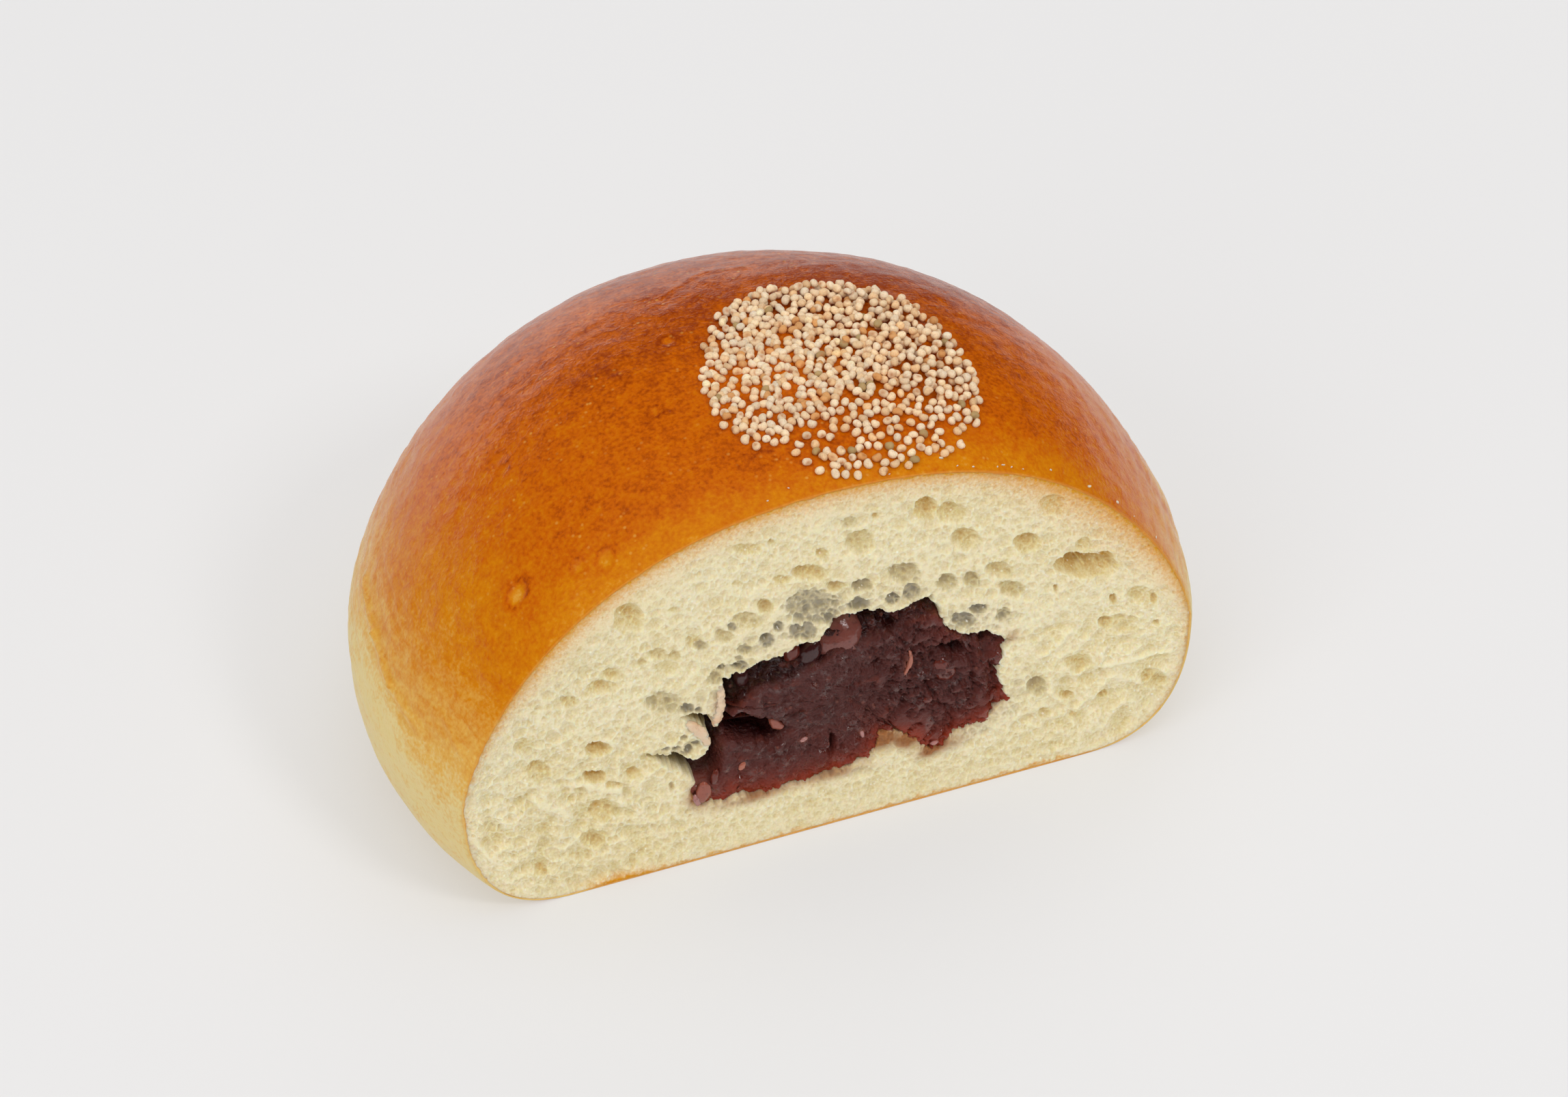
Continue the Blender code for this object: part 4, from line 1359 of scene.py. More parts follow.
@dataclass(frozen=True)
class PasteFinish:
    """Moist bean paste: matt maroon where the knife smeared it, nearly black where it is wet and where it
    lies deep, the latter partly painted shade, red at its rim.

    Bits of bean skin and the flesh of mashed beans are lighter.
    """

    smear: Colour = linear(84, 42, 38)
    deep: Colour = linear(38, 7, 7)
    red: Colour = linear(146, 48, 20)
    skin: Colour = linear(150, 92, 76)
    flesh: Colour = linear(112, 52, 40)

    def made(self) -> bpy.types.Material:
        """The paste's material. The vertices hold wet, rim and skin as shares."""
        paint = Paint("bean_paste")
        wet = paint.attribute("wet")
        grit = paint.noise(0.5, 4.0) - 0.5
        clots = paint.noise(2.4, 3.0, shift=2.0) - 0.5
        drag = paint.noise(0.3, 3.0, stretch=(5.0, 1.0, 1.0), shift=5.0) - 0.5
        # Darker with the wet share: partly wetness, partly painted shade where the face lies deep.
        colour = paint.mix((wet + clots * 1.1 + grit * 0.5).clamped(), self.smear, self.deep)
        flesh = paint.noise(1.7, 3.0, shift=12.0).step(0.56, 0.72)
        colour = paint.mix(flesh * 0.55, colour, self.flesh)
        rim = (paint.attribute("rim") + clots * 0.5 * paint.attribute("rim")).clamped()
        colour = paint.mix(rim, colour, self.red)
        flecks = paint.spots(1.7, shift=3.0).step(0.16, 0.08) * 0.35
        colour = paint.mix(flecks, colour, self.skin)
        colour = paint.mix(paint.attribute("skin").clamped(), colour, self.skin)
        shine = paint.noise(1.3, 2.0, shift=8.0).step(0.50, 0.66)
        rough = (0.42 - wet * 0.20 - shine * 0.26 + grit * 0.2).clamped()
        rough_face = 0.45 + wet * 0.9 + shine * 0.5
        normal = paint.bump((grit + drag * 0.3 + clots * 0.8) * rough_face, 0.38, 1.0)
        return paint.drive(
            Base_Color=colour,
            Roughness=rough,
            Normal=normal,
            Coat_Weight=(shine * 0.7 + wet * 0.3).clamped(),
            Coat_Roughness=0.07,
            Subsurface_Weight=0.10,
            Subsurface_Radius=(1.0, 0.25, 0.12),
            Subsurface_Scale=1.0 * MM,
            Specular_IOR_Level=0.3,
        )


@dataclass
class Paste:
    """The lump of bean paste: an uneven cut face, a wet shoulder that falls away behind, and a round back.

    Lengths are in millimetres. The lump is half its width, length and height. The brink is the line, as x
    and height, from which the face falls away. The fissure is its middle, its turn and its half length.
    """

    form: Form
    pocket: Pocket
    centre: tuple[float, float] = (2.2, 17.8)
    around: int = 640
    face_rings: int = 118
    back_rings: int = 22
    lump: Triple = (25.0, 26.0, 11.6)
    lump_height: float = 18.6
    mouth: float = 9.0
    overlap: float = 0.35
    deepest: float = 7.6
    brink: tuple[tuple[float, float], ...] = (
        (-14, 18.5), (-11.5, 19.6), (-9, 22), (-4, 22.4), (-0.9, 23.5), (1.2, 25.2), (4.9, 25.5),
        (7.4, 25.6), (9.6, 26.6), (12.4, 26.4), (14, 23.6), (16.2, 21.6), (20.2, 19.9),
    )
    brink_noise: Swell = Swell(83, 3.0, 0.9, 2)
    coarse: Swell = Swell(81, 4.4, 0.9, 3)
    folds: Swell = Swell(82, 2.4, 1.1, 2)
    grit: Swell = Swell(84, 0.9, 1.0, 3, keep=0.85)
    bulges: Swell = Swell(86, 2.1)
    shoulder_lumps: Swell = Swell(85, 3.2, 1.3)
    shoulder_folds: Swell = Swell(87, 2.0, 1.0, 2)
    warp: Swell = Swell(89, 1.8, 0.6, 2)
    pits: Swell = Swell(91, 1.7)
    dampness: Swell = Swell(93, 4.0, 0.25)
    fissure: tuple[float, float, float, float] = (-9.4, 16.6, -28.0, 3.5)
    skin_patches: tuple[Patch, ...] = listed(
        Patch,
        (-3.3, 13, 0.45, 0.3), (3.6, 11.8, 0.3, 0.55), (-11, 18.3, 0.5, 0.7), (-15.9, 9.6, 1, 1.5, 0.8),
        (9, 20.5, 0.35, 1.1, 0.8),
    )
    finish: PasteFinish = field(default_factory=PasteFinish)

    def edge_reach(self, turn: np.ndarray) -> np.ndarray:
        """Farthest distance from the centre to the torn edge in each direction, over the edge's segments."""
        corners = np.array(self.pocket.edge) - np.array(self.centre)
        reach = np.full(turn.shape, 3.0)
        cos, sin = np.cos(turn), np.sin(turn)
        for a, b in zip(corners, np.roll(corners, -1, axis=0)):
            side = b - a
            cross = cos * side[1] - sin * side[0]
            safe = np.where(np.abs(cross) < 1e-9, 1e-9, cross)
            far = (a[0] * side[1] - a[1] * side[0]) / safe
            along = (a[0] * sin - a[1] * cos) / safe
            hit = (along >= -0.001) & (along <= 1.001) & (far > 0)
            reach = np.where(hit, np.maximum(reach, far), reach)
        return reach

    def lump_reach(self, turn: np.ndarray, depth: np.ndarray) -> np.ndarray:
        """Distance from the centre line to the round lump's side at a depth behind the cut."""
        width, length, height = self.lump
        share = np.sqrt(np.clip(1.0 - ((depth - self.form.middle) / length) ** 2, 0.0, 1.0))
        return share / np.sqrt((np.cos(turn) / width) ** 2 + (np.sin(turn) / height) ** 2)

    def above_shelf(self, x: np.ndarray, z: np.ndarray) -> np.ndarray:
        """How far points lie above the uneven line from which the paste falls away towards the crumb."""
        brink = np.interp(x, *np.array(self.brink).T) + self.brink_noise.at(on_cut(x, z))
        return np.maximum(z - brink, 0.0)

    def plain(self, spots: np.ndarray) -> np.ndarray:
        """Depth of the knife-smoothed face: lumps and folds, rougher at the right, less the whole beans."""
        x = spots[..., 0]
        lumpy = 0.55 + 0.45 * smooth(4.0, 9.0, x)
        coarse = self.coarse.at(spots) - np.abs(self.folds.at(spots))
        grit = (0.20 + 0.30 * smooth(3.0, 9.0, x)) * self.grit.at(spots)
        bulge = 0.9 * np.clip(self.bulges.at(spots) - 0.30, 0.0, 1.0)
        return 1.10 + coarse * lumpy * 1.1 + grit - bulge

    def shoulder(self, spots: np.ndarray) -> np.ndarray:
        """Added depth above the brink: a slope that is steepest at first, less its lumps and folds."""
        over = self.above_shelf(spots[..., 0], spots[..., 2])
        lumps = self.shoulder_lumps.at(spots) + 1.2 * (0.5 - np.abs(self.shoulder_folds.at(spots)))
        return 0.62 * over + 0.7 * np.minimum(over, 1.0) - 0.8 * lumps * smooth(0.0, 1.5, over)

    def holed(self, face: np.ndarray, spots: np.ndarray) -> np.ndarray:
        """The face's depth with a leaning fissure, three holes, a slit and pits added.

        Args:
            face: Depths without them.
            spots: Points of the cut.

        Returns:
            Depths in millimetres.
        """
        x, z = spots[..., 0], spots[..., 2]
        warp = self.warp.at(spots)
        middle_x, middle_z, lean, length = self.fissure
        along, across = turned(x - middle_x, z - middle_z, math.radians(lean))
        along, across = (along + warp) / length, across + warp
        fissure = 5.5 * np.exp(-(along**4) - (across / (1.35 - 0.25 * along)) ** 4)
        hole = 2.8 * bell((x - 15.0 + warp) / 1.5, (z - 20.4 + 0.5 * (x - 15.0)) / 0.9)
        second = 1.4 * bell((x - 5.8 + warp) / 1.2, (z - 21.6) / 0.8)
        third = 0.7 * bell((x - 11.7) / 0.5, (z - 16.6) / 0.5)
        slit = 1.5 * bell((x - 0.1 + 0.15 * np.sin(z * 2.0)) / 0.30, (z - 11.4) / 1.5)
        pits = 0.8 * np.clip(self.pits.at(spots) - 0.42, 0.0, 1.0)
        return face + fissure + (hole + (second + third)) + slit + pits

    def recess(self, x: np.ndarray, z: np.ndarray) -> np.ndarray:
        """How far the paste's face lies behind the cut: the deepest of the plain with its shoulder, a drop at
        the left end and a dip at the right, and the holes in them.

        Args:
            x: Places along the cut.
            z: Heights.

        Returns:
            Depths in millimetres.
        """
        spots = on_cut(x, z)
        plain = self.plain(spots)
        left = 4.5 * smooth(-12.3, -14.9, x) * smooth(9.5, 13.5, z)
        right = 2.6 * smooth(15.8, 19.3, x) * smooth(18.0, 21.5, z)
        face = np.maximum.reduce([plain + self.shoulder(spots), left + 0.4, plain + right])
        return np.maximum(self.holed(face, spots), 0.12)

    def grid(self) -> np.ndarray:
        """Points of the lump: rings from its face's centre to the rim, back along its side to its rear."""
        turn = np.linspace(0.0, math.tau, self.around, endpoint=False)[None, :]
        rim_reach = self.edge_reach(turn) + self.overlap
        s = np.linspace(0.004, 1.0, self.face_rings)[:, None]
        x = self.centre[0] + s * rim_reach * np.cos(turn)
        z = self.centre[1] + s * rim_reach * np.sin(turn)
        depth = np.minimum(self.recess(x, z), self.deepest)
        start = depth[-1][None, :]
        back = self.form.middle + self.lump[1]
        steps = np.sin(np.linspace(0.0, 1.0, self.back_rings + 1)[1:, None] * math.pi / 2 * 0.97)
        behind = start + (back - start) * steps
        share = smooth(0.0, self.mouth, behind)
        lump_reach = self.lump_reach(turn, np.maximum(behind, 4.5)) - 0.5
        reach = (1.0 - share) * (rim_reach - 0.3) + share * lump_reach
        side_x = self.centre[0] * (1.0 - share) + reach * np.cos(turn)
        side_z = self.centre[1] * (1.0 - share) + self.lump_height * share + reach * np.sin(turn)
        side = np.stack([side_x, behind, side_z], axis=-1)
        pole = np.broadcast_to(np.array([0.0, back, self.lump_height]), (1, self.around, 3))
        return np.concatenate([np.stack([x, depth, z], axis=-1), side, pole])

    def marks(self, points: np.ndarray) -> dict[str, np.ndarray]:
        """How wet the paste is, how red its rim, and where bits of skin lie: wet in the depth and above the
        brink, red near the torn edge and most so at its lower part. The wet share also darkens the paste, so
        its rise with depth is partly painted shade.
        """
        x, depth, z = points[..., 0], points[..., 1], points[..., 2]
        gap = np.maximum(-self.pocket.gap(x, z), 0.0)
        # Wetter and darker with depth behind the cut: partly wetness, partly painted shade of the recess.
        wet = smooth(1.2, 2.8, depth) * 0.85 + self.dampness.at(points)
        wet = np.clip(wet + 0.7 * smooth(0.0, 0.9, self.above_shelf(x, z)), 0.0, 1.0)
        low = smooth(13.5, 9.0, z - 0.18 * np.abs(x - 2.0) * 0.5)
        rim = np.exp(-gap / 1.8) * (0.30 + 0.70 * low) * smooth(3.0, 1.2, depth)
        rim = np.maximum(rim, 0.06 * smooth(16.5, 13.0, z) * smooth(2.4, 1.2, depth))
        return {"wet": wet, "rim": rim, "skin": sum(patch.at(x, z) for patch in self.skin_patches)}

    def build(self) -> bpy.types.Object:
        """Makes the lump, and returns it riding with the filling."""
        points = self.grid()
        faces = grid_quads(points.shape[0], points.shape[1], closed=True)
        placed = self.form.placed(points)
        piece = make_piece("paste", placed, faces, self.finish.made(), self.marks(points))
        return belongs(piece, PASTE_NODE)


@dataclass(frozen=True)
class Scrap:
    """A bean, bit of skin or crumb: an oval lying on a surface.

    Attributes:
        x: Place along the cut.
        z: Height.
        size: Half length, half width and half thickness.
        tilt: Turn of its length in degrees.
        colour: Its colour.
        lift: How far its middle stands out of the surface.
        bend: How far its ends bow to one side, over its half length.
    """

    x: float
    z: float
    size: Triple
    tilt: float
    colour: Colour
    lift: float = 0.0
    bend: float = 0.0

    def shape(self, depth: float, rows: int = 15, columns: int = 20) -> np.ndarray:
        """Its surface: ovals along a bowed line, of a size that follows a half circle, roughened by noise.

        Args:
            depth: Depth of the surface that it lies on.
            rows: Ovals along its length.
            columns: Points round an oval.

        Returns:
            Rows by columns by three.
        """
        turn = math.radians(self.tilt)
        s = -np.cos(np.linspace(0.0, math.pi, rows))
        girth = np.sqrt(np.clip(1.0 - s**2, 0.0, 1.0))
        length, width, thickness = self.size
        bow = self.bend * length * (s**2 - 0.4)
        x = self.x + length * s * math.cos(turn) - bow * math.sin(turn)
        z = self.z + length * s * math.sin(turn) + bow * math.cos(turn)
        centres = np.stack([x, np.full(rows, depth - self.lift), z], axis=1)
        points = oval_tube(centres, width * girth, thickness * girth, turn, columns)
        middle = centres.mean(axis=0)
        swell = 1.0 + 0.16 * Grain(101).layered(points, max(width, 0.3), 2)
        return middle + (points - middle) * swell[..., None]


RED_BEAN = linear(104, 44, 34)
# The big bean's red-brown, greyed to paint in part of its highlight.
BEAN_WITH_PAINTED_HIGHLIGHT = linear(122, 70, 62)
BEAN_SKIN = linear(170, 104, 84)
PINK_BIT = linear(176, 124, 118)
DARK_BEAN = linear(60, 26, 25)
TORN_SKIN = linear(150, 84, 68)


@dataclass(frozen=True)
class BeanFinish:
    """Whole and broken beans: wet, a little see-through, each with its own colour."""

    def made(self) -> bpy.types.Material:
        """The beans' material. The vertices hold a tint."""
        paint = Paint("bean_skin")
        grain = paint.noise(0.5, 3.0) - 0.5
        colour = paint.mix(grain.step(0.02, 0.3) * 0.5, paint.attribute_colour("tint"), DARK_BEAN)
        return paint.drive(
            Base_Color=colour,
            Roughness=(0.14 + grain * 0.2).clamped(),
            Normal=paint.bump(grain, 0.10, 0.7),
            Subsurface_Weight=0.3,
            Subsurface_Radius=(1.0, 0.3, 0.15),
            Subsurface_Scale=1.0 * MM,
            Specular_IOR_Level=0.55,
        )


@dataclass
class Beans:
    """Beans and bits of their skins that show in the paste, seated no deeper than the deepest place."""

    form: Form
    paste: Paste
    deepest: float = 7.0
    clear: float = 0.15
    scraps: tuple[Scrap, ...] = listed(
        Scrap,
        (2.2, 25.1, (3.8, 3.3, 3.2), 60, BEAN_WITH_PAINTED_HIGHLIGHT, -2.9),
        (9.1, 20.9, (2, 0.28, 0.35), 78, BEAN_SKIN, 0.25, 0.3),
        (-3.2, 13.1, (0.5, 0.3, 0.2), 20, PINK_BIT, 0.1), (3.7, 11.7, (0.6, 0.24, 0.2), 100, PINK_BIT, 0.1),
        (-10.6, 18.2, (0.7, 0.4, 0.4), 80, BEAN_SKIN, 2.2),
        (-6.3, 16.2, (1.3, 0.6, 0.45), -55, TORN_SKIN, 2.4, 0.2),
        (-10.7, 11.9, (0.6, 0.4, 0.3), 60, BEAN_SKIN, 0.1), (12.2, 7.9, (0.5, 0.3, 0.25), 0, PINK_BIT, 0.1),
        (-15.5, 9.7, (1.5, 0.9, 0.5), 75, TORN_SKIN, 0.1, 0.2),
        (-16.3, 8.8, (0.9, 0.6, 0.4), 100, PINK_BIT, 0.3, 0.2),
        (-13.9, 11, (1.2, 0.5, 0.4), 80, RED_BEAN, 0.3), (13.6, 18, (1.9, 1.3, 0.8), 120, RED_BEAN, -0.5),
        (17.2, 11.3, (0.9, 0.5, 0.4), 20, RED_BEAN, 0.1), (19.4, 12, (1, 0.5, 0.4), 60, RED_BEAN, 0.1),
        (11.4, 14.4, (0.7, 0.5, 0.3), 10, RED_BEAN, 0.05), (-3.9, 25, (1.3, 1, 0.9), 70, RED_BEAN, 0.2),
        (-1.9, 24.4, (1.9, 1.4, 1.1), 60, DARK_BEAN, 0), (-7.6, 25.4, (0.9, 0.4, 0.4), 80, TORN_SKIN, 0.2),
        (-9.8, 23, (1.4, 1, 0.8), 100, DARK_BEAN, 0.1),
    )
    finish: BeanFinish = field(default_factory=BeanFinish)

    def build(self) -> bpy.types.Object:
        """Makes every bean and bit in one mesh, each seated on the paste's face."""
        blocks = []
        tints = []
        for scrap in self.scraps:
            spot = np.array([scrap.x]), np.array([scrap.z])
            depth = min(float(self.paste.recess(*spot)[0]), self.deepest)
            blocks.append(scrap.shape(depth))
            tints.append(np.broadcast_to(np.array([*scrap.colour, 1.0]), (*blocks[-1].shape[:2], 4)))
        shapes = np.stack(blocks)
        shapes[..., 1] = np.maximum(shapes[..., 1], self.clear)
        placed, values = self.form.placed(shapes), {"tint": np.stack(tints)}
        piece = make_piece("beans", placed, grids_quads(shapes), self.finish.made(), values)
        return belongs(piece, PASTE_NODE)


@dataclass(frozen=True)
class FilmFinish:
    """Bread gone wet and see-through: pale, pinkish and glossy.

    Attributes:
        name: The material's name.
        colour: Its colour.
        dry: Colour of its drier drifts.
    """

    name: str
    colour: Colour
    dry: Colour = linear(236, 222, 196)

    def made(self) -> bpy.types.Material:
        """The film's material."""
        paint = Paint(self.name)
        grain = paint.noise(0.5, 3.0) - 0.5
        cloud = paint.noise(1.8, 2.0, shift=2.0) - 0.5
        colour = paint.mix((cloud + 0.5).clamped(), self.colour, self.dry)
        return paint.drive(
            Base_Color=colour,
            Roughness=(0.22 + grain * 0.2).clamped(),
            Normal=paint.bump(grain, 0.06, 0.5),
            Subsurface_Weight=0.6,
            Subsurface_Radius=(1.0, 0.7, 0.5),
            Subsurface_Scale=1.0 * MM,
            Specular_IOR_Level=0.6,
        )


@dataclass(frozen=True)
class Flap:
    """A limp strip of wet bread skin.

    Attributes:
        root: One end as x, depth and height.
        tip: The other end.
        width: Half width.
        thickness: Half thickness.
    """

    root: Triple
    tip: Triple
    width: float
    thickness: float

    def shape(self, rows: int, columns: int) -> np.ndarray:
        """Ovals from its root to its tip, of a size that follows a power of the place, swollen by noise.

        Args:
            rows: Ovals along it.
            columns: Points round an oval.

        Returns:
            Rows by columns by three.
        """
        s = np.linspace(0.0, 1.0, rows)
        root, tip = np.array(self.root), np.array(self.tip)
        turn = math.atan2(tip[2] - root[2], tip[0] - root[0])
        centres = root + (tip - root) * s[:, None]
        centres[:, 0] += 0.35 * np.sin(math.pi * s)
        ends = np.sqrt(np.clip(1.0 - np.abs(2.0 * s - 1.0) ** 4, 0.0, 1.0))
        points = oval_tube(centres, self.width * ends, self.thickness * ends, turn, columns)
        middle = centres[:, None, :]
        lumps = 1.0 + 0.40 * Grain(111).layered(points, 1.1, 3, keep=0.6)
        return middle + (points - middle) * lumps[..., None]


@dataclass
class Tongue:
    """Skins of wet bread on the spur and at the torn edge over it, at the left end of the pocket."""

    form: Form
    rows: int = 70
    columns: int = 60
    clear: float = 0.12
    flaps: tuple[Flap, ...] = listed(
        Flap,
        ((-17.2, 0.55, 21), (-14.7, 0.5, 16.7), 0.62, 0.5),
        ((-13.2, 0.6, 25.4), (-13.9, 0.75, 19), 0.55, 0.5),
    )
    finish: FilmFinish = FilmFinish("wet_tongue", linear(224, 172, 130))

    def build(self) -> bpy.types.Object:
        """Makes both skins in one mesh."""
        shapes = np.stack([flap.shape(self.rows, self.columns) for flap in self.flaps])
        shapes[..., 1] = np.maximum(shapes[..., 1], self.clear)
        placed = self.form.placed(shapes)
        piece = make_piece("wet_tongue", placed, grids_quads(shapes), self.finish.made())
        return belongs(piece, BUN_NODE)


@dataclass
class Flecks:
    """Tiny torn bits of crumb that lie on the crust along the cut: the largest at set places."""

    form: Form
    count: int = 15
    span: tuple[float, float] = (-18.0, 39.0)
    largest: tuple[tuple[float, float], ...] = ((13.2, 1.7), (30.5, 0.9), (34.0, 0.9))
    large: float = 0.26
    small: tuple[float, float] = (0.10, 0.18)
    finish: FilmFinish = FilmFinish("crumb_fleck", linear(242, 222, 186))

    def build(self) -> bpy.types.Object:
        """Makes every fleck in one mesh: larger ones at set places, small ones at random near the cut."""
        draw = np.random.default_rng(61)
        x = draw.uniform(*self.span, self.count)
        depth = 0.45 + 0.5 * np.abs(draw.normal(size=self.count))
        spots = np.concatenate([np.array(self.largest), np.stack([x, depth], axis=1)])
        size = np.concatenate([np.full(len(self.largest), self.large), draw.uniform(*self.small, self.count)])
        tilt = draw.uniform(0.0, 180.0, len(spots))
        height = self.form.top(spots[:, 0], spots[:, 1]) + 0.1
        blocks = [
            Scrap(a, z, (r, 0.6 * r, 0.5 * r), turn, BEAN_SKIN).shape(deep, 7, 8)
            for (a, deep), z, r, turn in zip(spots, height, size, tilt)
        ]
        shapes = np.stack(blocks)
        placed = self.form.placed(shapes)
        piece = make_piece("crumb_flecks", placed, grids_quads(shapes), self.finish.made())
        return belongs(piece, BUN_NODE)


@dataclass(frozen=True)
class SeedFinish:
    """White poppy seeds: each holds its own tint, and a darker ring round its dimple.

    Attributes:
        ring: Colour of the dimple and of the net on the husk.
    """

    ring: Colour = linear(190, 120, 62)

    def made(self) -> bpy.types.Material:
        """The seeds' material. The vertices hold a tint and how near they are to the dimple."""
        paint = Paint("seed_husk")
        net = paint.spots(0.16, shift=2.0)
        colour = paint.mix(paint.attribute("dimple"), paint.attribute_colour("tint"), self.ring)
        colour = paint.mix(net.step(0.5, 0.8) * 0.25, colour, self.ring)
        return paint.drive(
            Base_Color=colour,
            Roughness=0.55,
            Normal=paint.bump(net, 0.03, 0.5),
            Subsurface_Weight=0.2,
            Subsurface_Radius=(1.0, 0.7, 0.4),
            Subsurface_Scale=0.4 * MM,
        )


@dataclass
class Seeds:
    """A round patch of poppy seeds, packed and partly heaped at the back, thin at the front.

    Lengths are in millimetres, and centre and radius are x and depth. Where the patch is thick, a share of
    the places tried is heaped on a first layer, not too crowded. The kinds are colours and their shares.
    """

    form: Form
    centre: tuple[float, float] = (7.1, 16.4)
    radius: tuple[float, float] = (14.6, 16.4)
    ceiling: float = 52.05
    tries: int = 9000
    spacing: float = 0.86
    crowded: float = 0.35
    thick: float = 0.85
    heaped: float = 0.30
    length: float = 1.08
    slope_step: float = 0.3
    seat: float = 0.36
    layer_height: float = 0.62
    dimpled: float = 0.55
    kinds: tuple[tuple[Colour, float], ...] = (
        (linear(244, 218, 182), 0.72),
        (linear(236, 198, 152), 0.20),
        (linear(218, 158, 96), 0.06),
        (linear(176, 148, 98), 0.02),
    )
    finish: SeedFinish = field(default_factory=SeedFinish)
    clearings: tuple[Patch, ...] = listed(
        Patch,
        (-3.6, 19, 1.4, 1.6), (-4, 14.5, 1, 2.2), (1, 15, 1.2, 0.9, 0.9), (0, 8.5, 3.2, 1.3),
        (4, 6, 2.6, 1.4), (-3, 5, 4, 2, 0.9), (10.5, 10.8, 2, 0.9, 0.9), (6.5, 12, 1.4, 1, 0.9),
        (15, 5, 3, 2, 0.9), (19, 9, 1.2, 1.6, 0.8), (4, 24, 1.2, 0.8, 0.7), (12, 22.5, 1, 0.9, 0.7),
    )

    def density(self, x: np.ndarray, depth: np.ndarray) -> np.ndarray:
        """How thickly seeds lie at points of the ground plan, from 0 to 1."""
        across = (x - self.centre[0]) / self.radius[0]
        along = (depth - self.centre[1]) / self.radius[1]
        away = np.hypot(across, along) + 0.03 * np.sin(5.0 * np.arctan2(along, across) + 1.0)
        heaped = 0.30 + 0.70 * smooth(3.0, 14.0, depth + 0.18 * (x - 7.0))
        thick = smooth(1.04, 0.97, away) * smooth(0.75, 1.2, depth) * heaped
        bare = np.clip(sum(p.at(x, depth) for p in self.clearings), 0.0, 1.0)
        return thick * (1.0 - bare)

    def places(self) -> tuple[np.ndarray, np.ndarray]:
        """Ground places of the seeds and the layer of each: darts that keep clear of the earlier ones.

        Returns:
            Places as x and depth, and layer numbers from 0.
        """
        draw = np.random.default_rng(17)
        throws = draw.uniform(-1.06, 1.06, (self.tries, 2)) * np.array(self.radius) + np.array(self.centre)
        chance = draw.random(self.tries)
        wanted = self.density(throws[:, 0], throws[:, 1])
        kept: list[np.ndarray] = []
        layers: list[int] = []
        for spot, luck, want in zip(throws, chance, wanted):
            if luck > want:
                continue
            near = np.hypot(*(np.array(kept) - spot).T) if kept else np.array([9.0])
            close = near < self.spacing
            layer = int(close.any())
            if layer:
                roomy = near.min() > self.crowded and not (close & (np.array(layers) == 1)).any()
                if want <= self.thick or luck >= self.heaped or not roomy:
                    continue
            kept.append(spot)
            layers.append(layer)
        return np.array(kept), np.array(layers)

    def one_seed(self, across: int = 12, along: int = 9) -> tuple[np.ndarray, np.ndarray, np.ndarray]:
        """A kidney: rings of a ball, longer than wide, bowed by a parabola, with a dimple where it is hollow.

        Args:
            across: Points in a ring.
            along: Rings, the two end points among them.

        Returns:
            Points about the middle in units of half a length, faces, and the dimple's share at each point.
        """
        u = np.linspace(0.0, math.pi, along)[:, None]
        v = np.linspace(0.0, math.tau, across, endpoint=False)[None, :]
        x = np.cos(u) + 0.0 * v
        thick = np.sin(u) * (1.0 + 0.06 * np.cos(2.0 * u))
        y = 0.92 * thick * np.cos(v) + 0.16 * (x**2 - 0.5)
        z = 0.88 * thick * np.sin(v)
        dimple = bell(x / 0.42, z / 0.36) * (np.cos(v) > 0.0) * np.sin(u)
        y = y - 0.30 * dimple
        points = np.stack([x, y, z], axis=-1).reshape(-1, 3)
        ring = bell(x / 0.60, z / 0.52) * (np.cos(v) > 0.0)
        return points, grid_quads(along, across, closed=True), ring.reshape(-1)

    def tints(self, count: int, draw: np.random.Generator) -> np.ndarray:
        """Colours of the seeds: kinds drawn by their shares, each a little lighter or darker and warmer."""
        colours = np.array([colour for colour, _ in self.kinds])
        pick = draw.choice(len(colours), size=count, p=[share for _, share in self.kinds])
        shade = draw.normal(1.0, 0.07, (count, 1))
        warm = draw.normal(0.0, 0.03, (count, 1)) * np.array([[1.0, 0.0, -1.5]])
        return np.clip(colours[pick] * shade + warm * colours[pick], 0.0, 1.0)

    def upright(self, x: np.ndarray, depth: np.ndarray) -> np.ndarray:
        """Unit normals of the skin at places of the ground plan, from differences of its height."""
        step = self.slope_step
        slope_x = (self.form.top(x + step, depth) - self.form.top(x - step, depth)) / (2 * step)
        slope_y = (self.form.top(x, depth + step) - self.form.top(x, depth - step)) / (2 * step)
        return unit(np.stack([-slope_x, -slope_y, np.ones(len(x))], axis=1))

    def axes(self, up: np.ndarray, layers: np.ndarray, draw: np.random.Generator) -> tuple[np.ndarray, ...]:
        """Three square axes for each seed: the last leans at random off the skin's normal, more so in the
        upper layer, and the first two are turned at random about it.

        Args:
            up: Normals of the skin.
            layers: Layer numbers of the seeds.
            draw: Random numbers.

        Returns:
            Unit vectors, seeds by three, for each axis.
        """
        lean = draw.normal(0.0, 0.25, up.shape) * np.where(layers[:, None] > 0, 1.8, 1.0)
        axis_z = unit(up + lean)
        spin = draw.uniform(0.0, math.tau, len(up))
        guess = np.stack([np.cos(spin), np.sin(spin), np.zeros(len(up))], axis=1)
        axis_y = unit(np.cross(axis_z, guess))
        return np.cross(axis_y, axis_z), axis_y, axis_z

